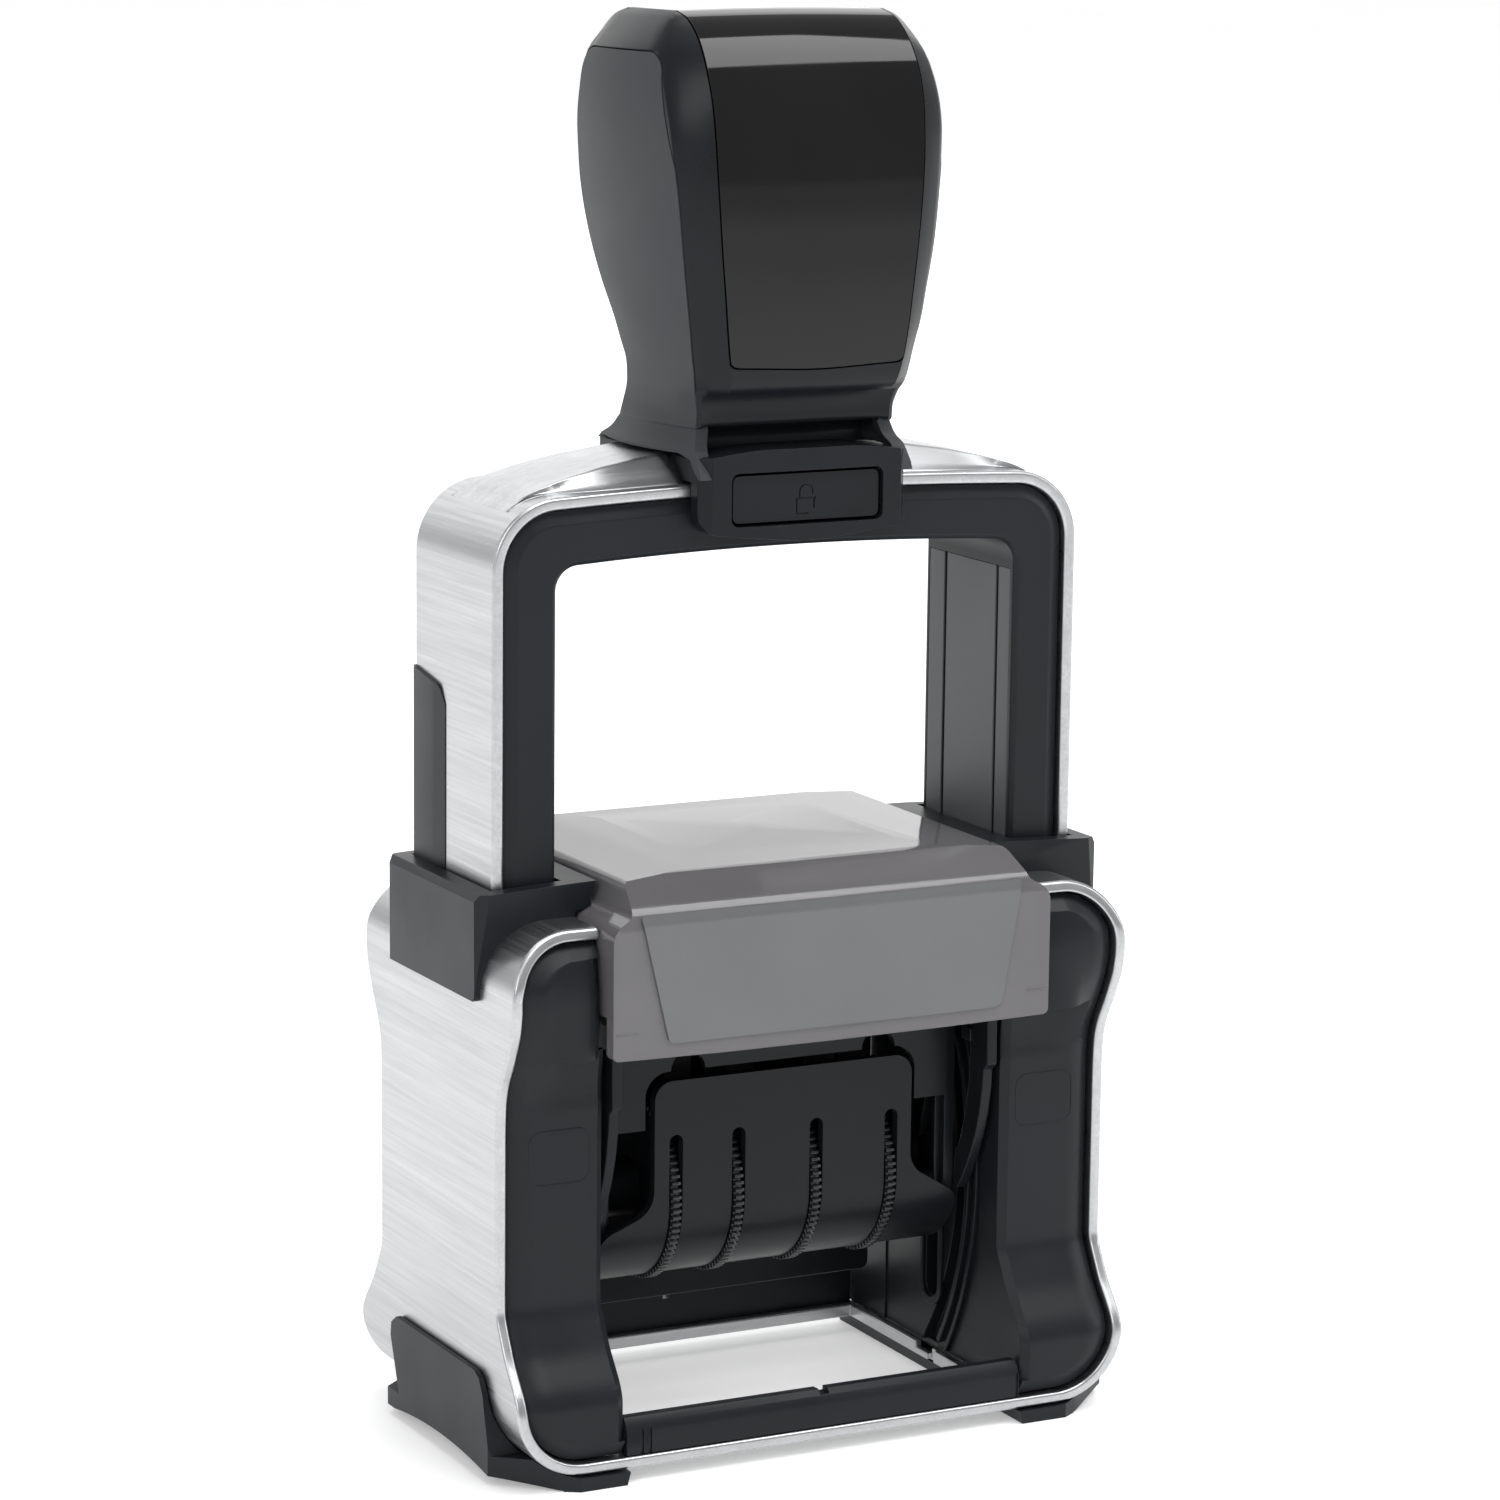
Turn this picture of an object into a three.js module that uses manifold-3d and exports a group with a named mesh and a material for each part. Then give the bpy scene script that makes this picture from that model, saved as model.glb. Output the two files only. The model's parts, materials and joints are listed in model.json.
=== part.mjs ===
// Rotary date stamp. Millimetres, +Z up, +Y to the back, origin under the centre of the feet.
import * as THREE from 'three';
import Module from 'manifold-3d';
import { mergeVertices } from 'three/addons/utils/BufferGeometryUtils.js';

const wasm = await Module();
wasm.setup();

// ---------------------------------------------------------------- driving dimensions
const GAP = 0.3;                       // clearance between neighbouring pieces
const BASE_HALF_W = 38.5;              // outside of the base's steel band
const BASE_BOTTOM = 1.7;               // underside of the steel band
const BASE_TOP = 62.5;                 // top of the shoulders
const BASE_T = 1.3;                    // steel thickness of the base band
const BASE_R_LOW = 8.5;                // lower corner radius
const BASE_R_TOP = 7.5;                // shoulder radius
const SHOULDER_IN = 27.6;              // where the shoulders stop beside the cassette
const WINDOW_HALF_X = 27;              // print window in the base's floor
const WINDOW_HALF_Y = 19.5;
const HALF_DEPTH = [                   // half depth of the base at each height: [z, half depth]
  [1.7, 21.6], [4.5, 21.7], [7.6, 21.8], [9.6, 22.0], [11.2, 21.2], [14.6, 18.5], [17.8, 16.9], [20, 16.15],
  [24, 16.05], [32, 16.0], [40, 16.05], [43.3, 16.2], [45.5, 16.9], [47.8, 18.2], [51.5, 19.9], [54, 20.4],
  [57, 20.3], [60, 19.2], [62.6, 18.2],
];

const LEG_HALF_W = 36.5;               // outside of the sliding frame's steel band
const LEG_HALF_D = 10.5;               // half depth of the sliding frame
const LEG_T = 1.4;                     // steel thickness of the sliding frame
const LEG_IN = 28.7;                   // inner face of the legs
const LEG_BOTTOM = 38;                 // lower end of the legs at rest
const STEEL_BOTTOM = 42;               // lower end of the frame's steel band
const FRAME_R = 8;                     // outer corner radius of the sliding frame
const FRAME_SHOULDER = 108.5;          // top of the frame at its corners
const FRAME_CROWN = 109.2;             // top of the frame at its centre
const BOW_TOP_SIDE = 100.9;            // underside of the crosspiece at its ends
const BOW_TOP_MID = 101.7;             // underside of the crosspiece at its centre
const BOW_R = 2.8;
const TRAVEL = 31;                     // full press of the handle

const WALL_IN = 25.2;                  // inner face of the side walls beside the rotor
const WALL_OUT = 28.4;                 // leg side of the same walls
const WALL_TOP = 51.4;
const CAVITY_FLOOR = 5.8;              // bottom of the leg shafts
const AXLE_Z = 41.8;                   // rotor axle at rest
const AXLE_R = 1.2;
const AXLE_SLOT = 1.5;                 // half width of the axle slot
const CAM_ARM = 7;                     // cam pin above the axle
const CAM_PIN_R = 1.2;
const CAM_HALF = 1.5;                  // half width of the cam groove
const CAM_DEPTH = 1.6;

const WHEEL_Z = 27.5;                  // centre of the setting wheels
const WHEEL_R = 10.8;
const WHEEL_TEETH = 40;
const WHEEL_T = 1.1;
const WHEEL_BORE = 1.58;
const WHEEL_X = [-13.7, -5.8, 4.1, 13.8];
const HUB_R = 5.4;
const HUB_SIDE = [1, 1, 1, -1];         // side of each wheel that carries its band hub
const HUB_W = 4.1;
const SHAFT_R = 1.5;
const GUARD_R = 10.3;                  // outside of the wheel guard, about the wheel shaft
const GUARD_T = 1.2;
const DIE_TOP = 52.3;                  // printing face at rest
const DIE_HALF_X = 20.5;
const DIE_HALF_Y = 11.5;
const ROTOR_HALF = 23.9;               // outside of the rotor's end plates
const PLATE_T = 3;

const HOOD_HALF = 27.3;                // ink cassette
const HOOD_FRONT = -22;
const HOOD_BACK = 18;
const HOOD_LOW = 48.2;
const HOOD_T = 1.2;
const BOX_HALF = 24.2;                 // raised part of the cassette
const PAD_BOTTOM = 52.9;

const COLLAR_HALF = 12.8;
const COLLAR_D = 14;
const COLLAR_LOW = 102.7;
const COLLAR_TOP = 112.6;
const BUTTON = { halfX: 9, low: 105.1, top: 110.1, front: -13.6, back: -12 };

// ---------------------------------------------------------------- materials
const look = (color, roughness, metalness, opacity = 1) => new THREE.MeshStandardMaterial({
  color, roughness, metalness, opacity, transparent: opacity < 1,
});
const STEEL = look(0xc9cbcc, 0.34, 1);
const BLACK = look(0x2b2f33, 0.5, 0);
const SOFT = look(0x3e4246, 0.8, 0);
const SATIN = look(0x1d1f21, 0.38, 0);
const GLOSS = look(0x050506, 0.06, 0);
const SMOKE = look(0x6d6d70, 0.12, 0, 0.6);
const RUBBER = look(0x2a2a2b, 0.85, 0);
const FELT = look(0x16224a, 0.95, 0);
const CARD = look(0x9a9a9c, 0.8, 0);
const WIRE = look(0xb8babc, 0.3, 1);

// ---------------------------------------------------------------- helpers
const bare = (geometry) => {
  geometry.deleteAttribute('normal');
  geometry.deleteAttribute('uv');
  return mergeVertices(geometry, 1e-4);
};

function solid(geometry) {
  const g = bare(geometry);
  return new wasm.Manifold(new wasm.Mesh({
    numProp: 3,
    vertProperties: new Float32Array(g.attributes.position.array),
    triVerts: new Uint32Array(g.index.array),
  }));
}

function geometryOf(manifold) {
  const m = manifold.getMesh();
  const g = new THREE.BufferGeometry();
  const xyz = new Float32Array(m.numVert * 3);
  for (let i = 0; i < m.numVert; i += 1) {
    for (let k = 0; k < 3; k += 1) xyz[3 * i + k] = m.vertProperties[m.numProp * i + k];
  }
  g.setAttribute('position', new THREE.BufferAttribute(xyz, 3));
  g.setIndex(Array.from(m.triVerts));
  return g;
}

const AXES = {
  X: [[0, 1, 0], [0, 0, 1], [1, 0, 0]],
  Y: [[1, 0, 0], [0, 0, 1], [0, -1, 0]],
  Z: [[1, 0, 0], [0, 1, 0], [0, 0, 1]],
};

// A prism with its outline across the named axis: (y, z) along X, (x, z) along Y, (x, y) along Z.
function prism(axis, outline, from, to, holes = []) {
  const shape = new THREE.Shape(outline.map(([u, v]) => new THREE.Vector2(u, v)));
  for (const hole of holes) {
    shape.holes.push(new THREE.Path(hole.map(([u, v]) => new THREE.Vector2(u, v))));
  }
  const g = new THREE.ExtrudeGeometry(shape, { depth: to - from, bevelEnabled: false, curveSegments: 1 });
  const [a, b, c] = AXES[axis].map((v) => new THREE.Vector3(...v));
  g.applyMatrix4(new THREE.Matrix4().makeBasis(a, b, c));
  g.translate(...c.clone().multiplyScalar(axis === 'Y' ? -to : from).toArray());
  return solid(g);
}

const block = (x0, x1, y0, y1, z0, z1) => prism('Z', [[x0, y0], [x1, y0], [x1, y1], [x0, y1]], z0, z1);

const ring = (u, v, r, n) => Array.from({ length: n }, (_, i) => {
  const a = (2 * Math.PI * i) / n;
  return [u + r * Math.cos(a), v + r * Math.sin(a)];
});

const rod = (r, x0, x1, y, z, n = 28) => prism('X', ring(y, z, r, n), x0, x1);

// Arc points from angle a0 to a1 in degrees.
const arc = (u, v, r, a0, a1, n = 8) => Array.from({ length: n + 1 }, (_, i) => {
  const a = ((a0 + ((a1 - a0) * i) / n) * Math.PI) / 180;
  return [u + r * Math.cos(a), v + r * Math.sin(a)];
});

// Smooth open curve through points.
const smooth = (points, n) => new THREE.SplineCurve(points.map(([u, v]) => new THREE.Vector2(u, v)))
  .getPoints(n).map((p) => [p.x, p.y]);

const flip = (points) => points.map(([u, v]) => [-u, v]);

// A solid through rings of 3-D points, all with the same count and sense.
function loft(rings) {
  const n = rings[0].length;
  const xyz = rings.flat(2);
  const index = [];
  for (let k = 0; k + 1 < rings.length; k += 1) {
    for (let i = 0; i < n; i += 1) {
      const j = (i + 1) % n;
      const a = k * n + i;
      const b = k * n + j;
      index.push(a, b, b + n, a, b + n, a + n);
    }
  }
  const flat = rings[0].map((_, i) => i);
  const faces = THREE.ShapeUtils.triangulateShape(
    flat.map((i) => new THREE.Vector2(rings[0][i][0], rings[0][i][1])), []);
  const base = (rings.length - 1) * n;
  for (const [a, b, c] of faces) {
    index.push(a, c, b, base + a, base + b, base + c);
  }
  const g = new THREE.BufferGeometry();
  g.setAttribute('position', new THREE.Float32BufferAttribute(xyz, 3));
  g.setIndex(index);
  return solid(g);
}

// The same geometry on the other side of the plane x = 0.
function mirrored(geometry) {
  const g = geometry.clone();
  g.scale(-1, 1, 1);
  const index = g.index.array;
  for (let i = 0; i < index.length; i += 3) [index[i], index[i + 1]] = [index[i + 1], index[i]];
  return g;
}

const stamp = new THREE.Group();
stamp.name = 'rotary_date_stamp';

function add(name, shape, material) {
  const mesh = new THREE.Mesh(shape.isBufferGeometry ? shape : geometryOf(shape), material);
  mesh.name = name;
  mesh.geometry.computeVertexNormals();
  stamp.add(mesh);
}

function addPair(name, right, material) {
  const g = geometryOf(right);
  add(`${name}_left`, mirrored(g), material);
  add(`${name}_right`, g, material);
}

// ---------------------------------------------------------------- base: steel band
// Path of the base band's right half at a depth t inside its outer face, from shoulder to floor.
const basePath = (t) => [
  [SHOULDER_IN, BASE_TOP - t],
  ...arc(BASE_HALF_W - BASE_R_TOP, BASE_TOP - BASE_R_TOP, BASE_R_TOP - t, 90, 0, 10),
  ...arc(BASE_HALF_W - BASE_R_LOW, BASE_BOTTOM + BASE_R_LOW, BASE_R_LOW - t, 0, -90, 10),
];
const depthCurve = smooth(HALF_DEPTH, 36);
const depthOutline = (inset) => [
  ...depthCurve.map(([z, d]) => [d - inset, z]),
  ...depthCurve.slice().reverse().map(([z, d]) => [inset - d, z]),
];
const hourglass = (inset) => prism('X', depthOutline(inset), -45, 45);
const mirrorPath = (path) => flip(path).reverse();

const outerU = [...basePath(0), ...mirrorPath(basePath(0))];
const innerU = [...basePath(BASE_T), ...mirrorPath(basePath(BASE_T))];
const CAP_HALF_Y = 12.8;
const CAP_LOW = 53.8;
const capNotch = block(20, 45, -CAP_HALF_Y - GAP, CAP_HALF_Y + GAP, CAP_LOW - GAP, 80);
const capNotchLeft = block(-45, -20, -CAP_HALF_Y - GAP, CAP_HALF_Y + GAP, CAP_LOW - GAP, 80);
const baseBand = prism('Y', [...outerU, ...innerU.slice().reverse()], -23, 23)
  .intersect(hourglass(0))
  .subtract(block(-WINDOW_HALF_X, WINDOW_HALF_X, -WINDOW_HALF_Y, WINDOW_HALF_Y, 0, 4))
  .subtract(capNotch)
  .subtract(capNotchLeft);
add('base_steel_band', baseBand, STEEL);

// ---------------------------------------------------------------- base: side housings
const camPoint = (t) => [
  -CAM_ARM * Math.sin(Math.PI * t),
  AXLE_Z - TRAVEL * t + CAM_ARM * Math.cos(Math.PI * t),
];

function camGroove() {
  const steps = 36;
  const left = [];
  const right = [];
  for (let i = -2; i <= steps; i += 1) {
    const p = camPoint(i / steps);
    const q = camPoint((i + 0.01) / steps);
    const len = Math.hypot(q[0] - p[0], q[1] - p[1]);
    const n = [-(q[1] - p[1]) / len, (q[0] - p[0]) / len];
    left.push([p[0] + n[0] * CAM_HALF, p[1] + n[1] * CAM_HALF]);
    right.push([p[0] - n[0] * CAM_HALF, p[1] - n[1] * CAM_HALF]);
  }
  return prism('X', [...left, ...right.reverse()], WALL_IN - 1, WALL_IN + CAM_DEPTH)
    .add(prism('X', ring(...camPoint(1), CAM_HALF, 20), WALL_IN - 1, WALL_IN + CAM_DEPTH))
    .add(prism('X', ring(...camPoint(0), CAM_HALF, 20), WALL_IN - 1, WALL_IN + CAM_DEPTH));
}

const housingPath = basePath(BASE_T + GAP);
const housingBlock = prism('Y', [
  ...housingPath, [WALL_IN, BASE_BOTTOM + BASE_T + GAP], [WALL_IN, WALL_TOP], [SHOULDER_IN, WALL_TOP],
], -23, 23).intersect(hourglass(GAP));
const reliefOutline = [
  [WALL_IN - 1, -23], [WALL_IN + 2.2, -23], [WALL_IN + 2.2, -16.2], [WALL_IN - 1, -13],
];
const rearReliefOutline = reliefOutline.map(([x, y]) => [x, -y]).reverse();
const PRINT_Z = AXLE_Z - TRAVEL;
const sideHousing = housingBlock
  .subtract(block(WALL_OUT, 45, -LEG_HALF_D - GAP, LEG_HALF_D + GAP, CAVITY_FLOOR, 80))
  .subtract(block(WALL_IN - 1, SHOULDER_IN, -25, -WINDOW_HALF_Y - GAP, HOOD_LOW - 0.5, 60))
  .subtract(block(WALL_IN - 1, SHOULDER_IN, WINDOW_HALF_Y + GAP, 25, HOOD_LOW - 0.5, 60))
  .subtract(block(WALL_IN - 1, WALL_OUT + 1, -AXLE_SLOT, AXLE_SLOT, PRINT_Z, 60))
  .subtract(rod(AXLE_SLOT, WALL_IN - 1, WALL_OUT + 1, 0, PRINT_Z))
  .subtract(prism('Z', reliefOutline, 12, 46))
  .subtract(prism('Z', rearReliefOutline, 12, 46))
  .subtract(camGroove());
addPair('side_housing', sideHousing, BLACK);

// ---------------------------------------------------------------- base: sills, feet and caps
const SILL_HALF = WALL_IN - GAP;
const sillOutline = [[-21.4, 3.3], [-19.1, 3.3], [-19.0, 7.3], [-20.4, 7.3], [-21.4, 5.4]];
const sill = prism('X', sillOutline, -SILL_HALF, SILL_HALF);
add('front_sill', sill, BLACK);
add('rear_sill', prism('X', flip(sillOutline).reverse(), -SILL_HALF, SILL_HALF), BLACK);

const FOOT_OUT = 39.3;
const FOOT_TOP = 12.1;
const FOOT_IN = 25.2;
const footPath = arc(BASE_HALF_W - BASE_R_LOW, BASE_BOTTOM + BASE_R_LOW, BASE_R_LOW + GAP, -90, 0, 10);
const footProfile = [
  [FOOT_IN, 0], [36.4, 0], [FOOT_OUT, 1.1], [FOOT_OUT, FOOT_TOP],
  [BASE_HALF_W + GAP, FOOT_TOP], ...footPath.slice().reverse(), [FOOT_IN - 0.2, BASE_BOTTOM - GAP],
];
const footPlan = [
  [24, -22], [30.8, -22], [FOOT_OUT + 0.3, -15.6], [FOOT_OUT + 0.3, 11.4], [32.4, 17.5], [30.8, 22], [24, 22],
];
const footSide = [
  [-22, 0], [22, 0], [22, 5], [9.2, 5], [11.5, 10.1], [9.8, FOOT_TOP],
  [-12.2, FOOT_TOP], [-13.6, 11], [-15.9, 5], [-22, 5],
];
const foot = prism('Y', footProfile, -22, 22)
  .intersect(prism('Z', footPlan, -1, 13))
  .intersect(prism('X', footSide, 20, 42));
addPair('foot', foot, BLACK);

const capInner = arc(BASE_HALF_W - BASE_R_TOP, BASE_TOP - BASE_R_TOP, BASE_R_TOP - BASE_T, 0, 90, 10);
const CAP_OUT = 39.2;
const capProfile = [
  [BASE_HALF_W - BASE_T, CAP_LOW], [CAP_OUT, CAP_LOW], [CAP_OUT, 65.2],
  [38.6, 65.9], [27.6, 66.3], [25.2, 66.3],
  [25.7, 63.7], [SHOULDER_IN, 63.5], [SHOULDER_IN, BASE_TOP - BASE_T], ...capInner.slice().reverse(),
];
const capSide = [
  [-11.8, CAP_LOW], [11.8, CAP_LOW], [12.7, 55.4], [CAP_HALF_Y, 63.6],
  [11.8, 66.4], [-CAP_HALF_Y, 66.4], [-12.5, 55],
];
const legShaft = block(WALL_OUT, BASE_HALF_W - BASE_T, -LEG_HALF_D - GAP, LEG_HALF_D + GAP, 40, 80);
const cap = prism('Y', capProfile, -CAP_HALF_Y, CAP_HALF_Y)
  .intersect(prism('X', capSide, 20, 42))
  .subtract(legShaft);
addPair('cap', cap, BLACK);

// ---------------------------------------------------------------- return springs
const SPRING = { x: 31.8, y: 6, r: 1.95, wire: 0.35, low: 6.2, top: 57.7, turns: 13 };
const SPRING_BORE = 2.7;

class Helix extends THREE.Curve {
  getPoint(t, target = new THREE.Vector3()) {
    const a = 2 * Math.PI * SPRING.turns * t;
    const rise = SPRING.top - SPRING.low - 2 * SPRING.wire;
    return target.set(
      SPRING.x + SPRING.r * Math.cos(a),
      SPRING.y + SPRING.r * Math.sin(a),
      SPRING.low + SPRING.wire + rise * t,
    );
  }
}
const wireShape = new THREE.Shape(ring(0, 0, SPRING.wire, 5).map(([u, v]) => new THREE.Vector2(u, v)));
const spring = solid(new THREE.ExtrudeGeometry(wireShape, {
  steps: SPRING.turns * 10, bevelEnabled: false, extrudePath: new Helix(), curveSegments: 1,
}));
addPair('return_spring', spring, WIRE);

// ---------------------------------------------------------------- sliding frame
const framePath = (t, low) => [
  [LEG_HALF_W - t, low],
  ...arc(LEG_HALF_W - FRAME_R, FRAME_SHOULDER - FRAME_R, FRAME_R - t, 0, 88, 9),
  ...[22, 15, 8].map((x) => [x, FRAME_CROWN - t - ((FRAME_CROWN - FRAME_SHOULDER) * x * x) / 812]),
];
const frameArch = (t, low) => [...framePath(t, low), [0, FRAME_CROWN - t], ...mirrorPath(framePath(t, low))];
const steelFrame = prism('Y', [
  ...frameArch(0, STEEL_BOTTOM), ...frameArch(LEG_T, STEEL_BOTTOM).reverse(),
], -LEG_HALF_D, LEG_HALF_D);
add('frame_steel_band', steelFrame, STEEL);

const bowInner = [
  [LEG_IN, LEG_BOTTOM],
  ...arc(LEG_IN - BOW_R, BOW_TOP_SIDE - BOW_R, BOW_R, 0, 88, 6),
  [13, BOW_TOP_MID - 0.15],
];
const bowOuter = framePath(LEG_T + GAP, LEG_BOTTOM + 3.2);
const bowProfile = [
  [32.2, LEG_BOTTOM], ...bowOuter, [0, FRAME_CROWN - LEG_T - GAP], ...mirrorPath(bowOuter), [-32.2, LEG_BOTTOM],
  ...flip(bowInner), [0, BOW_TOP_MID], ...bowInner.slice().reverse(),
];
const BOW_HALF_D = LEG_HALF_D - GAP;
let bow = prism('Y', bowProfile, -BOW_HALF_D, BOW_HALF_D);
for (const side of [-1, 1]) {
  const bore = prism('Z', ring(side * SPRING.x, SPRING.y, SPRING_BORE, 24), 30, SPRING.top + GAP);
  const socket = rod(AXLE_R + GAP, side > 0 ? 28 : -33, side > 0 ? 33 : -28, 0, AXLE_Z);
  bow = bow.subtract(bore).subtract(socket);
  for (const y of [-6.3, 5.5]) {
    const groove = block(side * LEG_IN - 0.5, side * LEG_IN + 0.5, y - 0.4, y + 0.4, LEG_BOTTOM - 1, 97.5);
    bow = bow.subtract(groove);
  }
}
add('frame_bow', bow, BLACK);

const stripOutline = [
  [2, STEEL_BOTTOM], [10.2, STEEL_BOTTOM], [10.2, 87.6], [9.2, 87.5], [3.6, 86.4], [2.5, 85.8], [2, 84.9],
];
addPair('leg_strip', prism('X', stripOutline, LEG_HALF_W + 0.02, LEG_HALF_W + 0.42), BLACK);

// Steel ridge that rises along the frame's top to the grip collar.
const humpRings = [
  [COLLAR_HALF + GAP, 112.2, 8.9, 6.2], [17, 111.6, 8.9, 6.2], [21.5, 110.9, 8.9, 6.3], [26, 110.0, 8.9, 6.6],
  [30, 109.0, 8.9, 7.2],
];
const frameTop = (x) => FRAME_CROWN - ((FRAME_CROWN - FRAME_SHOULDER) * x * x) / 812;
const acrossToAlong = new THREE.Matrix4().makeBasis(
  new THREE.Vector3(0, 1, 0), new THREE.Vector3(0, 0, 1), new THREE.Vector3(1, 0, 0));
const hump = geometryOf(loft(humpRings.map(([x, z, low, top]) => {
  const root = frameTop(x) + 0.02;
  const section = [[low, root], [low, root + 0.15], [top, z], [-top, z], [-low, root + 0.15], [-low, root]];
  return section.map(([y, h]) => [y, h, x]);
})));
hump.applyMatrix4(acrossToAlong);
add('crown_ridge_left', mirrored(hump), STEEL);
add('crown_ridge_right', hump, STEEL);

for (const side of [-1, 1]) {
  const pin = rod(AXLE_R, side > 0 ? 21.2 : -32.7, side > 0 ? 32.7 : -21.2, 0, AXLE_Z);
  add(side > 0 ? 'axle_pin_right' : 'axle_pin_left', pin, WIRE);
}

// ---------------------------------------------------------------- grip collar and lock button
const collarOutline = [
  ...arc(-COLLAR_HALF + 2, COLLAR_LOW + 2.6, 2, 180, 262, 5), [0, COLLAR_LOW],
  ...arc(COLLAR_HALF - 2, COLLAR_LOW + 2.6, 2, -82, 0, 5),
  [COLLAR_HALF, COLLAR_TOP - 0.6], [12.2, COLLAR_TOP], [-12.2, COLLAR_TOP], [-COLLAR_HALF, COLLAR_TOP - 0.6],
];
const tunnel = block(-20, 20, -LEG_HALF_D - GAP, LEG_HALF_D + GAP, 95, FRAME_CROWN + GAP);
const buttonHole = block(
  -BUTTON.halfX - GAP, BUTTON.halfX + GAP, -COLLAR_D - 1, -LEG_HALF_D, BUTTON.low - GAP, BUTTON.top + GAP);
const collar = prism('Y', collarOutline, -COLLAR_D, COLLAR_D).subtract(tunnel).subtract(buttonHole);
add('grip_collar', collar, SATIN);
add('lock_button', block(
  -BUTTON.halfX, BUTTON.halfX, BUTTON.front, BUTTON.back, BUTTON.low, BUTTON.top), BLACK);

// ---------------------------------------------------------------- grip
// [z, panel edge x, panel y, seam x, seam y, side bulge x]
const GRIP = [
  [112.9, 11.4, 13.0, 12.6, 12.2, 15.0],
  [114.4, 10.9, 12.0, 12.2, 11.2, 14.4],
  [116.4, 10.6, 11.4, 11.8, 10.6, 13.7],
  [118.7, 10.5, 11.3, 11.6, 10.5, 13.2],
  [119.0, 10.7, 15.7, 11.9, 12.2, 13.2],
  [121.5, 10.9, 16.2, 12.2, 12.4, 13.3],
  [126, 11.3, 16.3, 13.1, 12.9, 14.2],
  [131, 11.7, 16.3, 14.3, 13.4, 15.6],
  [138, 12.1, 16.2, 15.7, 13.9, 17.0],
  [145, 12.7, 15.8, 16.7, 13.9, 17.7],
  [150, 13.0, 15.2, 16.8, 13.1, 17.7],
  [154, 13.1, 13.6, 16.5, 11.6, 17.2],
  [157, 13.0, 11.2, 15.8, 9.2, 16.3],
  [159, 12.8, 8.8, 14.8, 7.0, 15.0],
  [160.3, 12.0, 5.0, 13.2, 3.8, 13.3],
];
const gripRing = ([z, px, py, sx, sy, bx]) => {
  const q = [
    [px * 0.5, -py - 0.1], [px, -py], [sx, -sy], [sx + (bx - sx) * 0.72, -sy * 0.55], [bx, 0],
    [sx + (bx - sx) * 0.72, sy * 0.55], [sx, sy], [px, py], [px * 0.5, py + 0.1],
  ];
  return [...q, ...q.map(([x, y]) => [-x, -y])].map(([x, y]) => [x, y, z]);
};
const SPLIT = 4;
const neckRings = GRIP.slice(0, SPLIT).map(gripRing);
const headRings = GRIP.slice(SPLIT).map(gripRing);
const seamWall = (rows, grow) => loft(rows.map(([z, , , sx], i) => {
  const zz = i === 0 ? z - 1 : i === rows.length - 1 ? z + 1 : z;
  const x = sx + grow;
  return [[x, -25, zz], [x, 25, zz], [-x, 25, zz], [-x, -25, zz]];
}));
const neckLoft = loft(neckRings);
const headLoft = loft(headRings);
const HALF_GAP = GAP / 2;
const SIDE_TOP = 156;
const neck = neckLoft.intersect(seamWall(GRIP.slice(0, SPLIT), -HALF_GAP));
add('grip_neck', neck, SATIN);

// Glossy panel that runs up the front, over the top and down the back.
const panelPath = (inset) => {
  const rows = GRIP.slice(SPLIT);
  const up = rows.map(([z, , y]) => [-y + inset, Math.min(z, 160.3 - inset)]);
  return [...up, ...up.slice().reverse().map(([y, z]) => [-y, z])];
};
const panelEdge = (grow) => {
  const rows = GRIP.slice(SPLIT);
  const up = rows.map(([z, x]) => [x + grow, z]);
  up[0][1] = 110;
  up[up.length - 1][1] = 170;
  return prism('Y', [...up, ...flip(up).reverse()], -25, 25);
};
const PANEL_T = 1.2;
const PANEL_LOW = 122.6;
const above = (z) => block(-30, 30, -30, 30, z, 175);
const panel = headLoft
  .intersect(panelEdge(-0.3))
  .intersect(above(PANEL_LOW))
  .subtract(prism('X', panelPath(PANEL_T), -30, 30));
add('grip_panel', panel, GLOSS);
const panelSeat = panelEdge(0)
  .intersect(above(PANEL_LOW - GAP))
  .subtract(prism('X', panelPath(PANEL_T + GAP), -30, 30));
const headCore = headLoft
  .intersect(seamWall(GRIP.slice(SPLIT), -HALF_GAP).add(above(SIDE_TOP + HALF_GAP)))
  .subtract(panelSeat);
add('grip_housing', headCore, SATIN);
const sides = neckLoft.subtract(seamWall(GRIP.slice(0, SPLIT), HALF_GAP))
  .add(headLoft.subtract(seamWall(GRIP.slice(SPLIT), HALF_GAP)))
  .subtract(above(SIDE_TOP - HALF_GAP))
  .add(neckLoft.intersect(block(12.9, 30, -9, 9, 117, 118.9)));
const bridge = block(12.3, 13.1, -8, 8, 118.2, 119.6);
const sideRight = sides.intersect(block(0, 40, -40, 40, 100, 170)).add(bridge);
addPair('grip_side', sideRight, SOFT);

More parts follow.
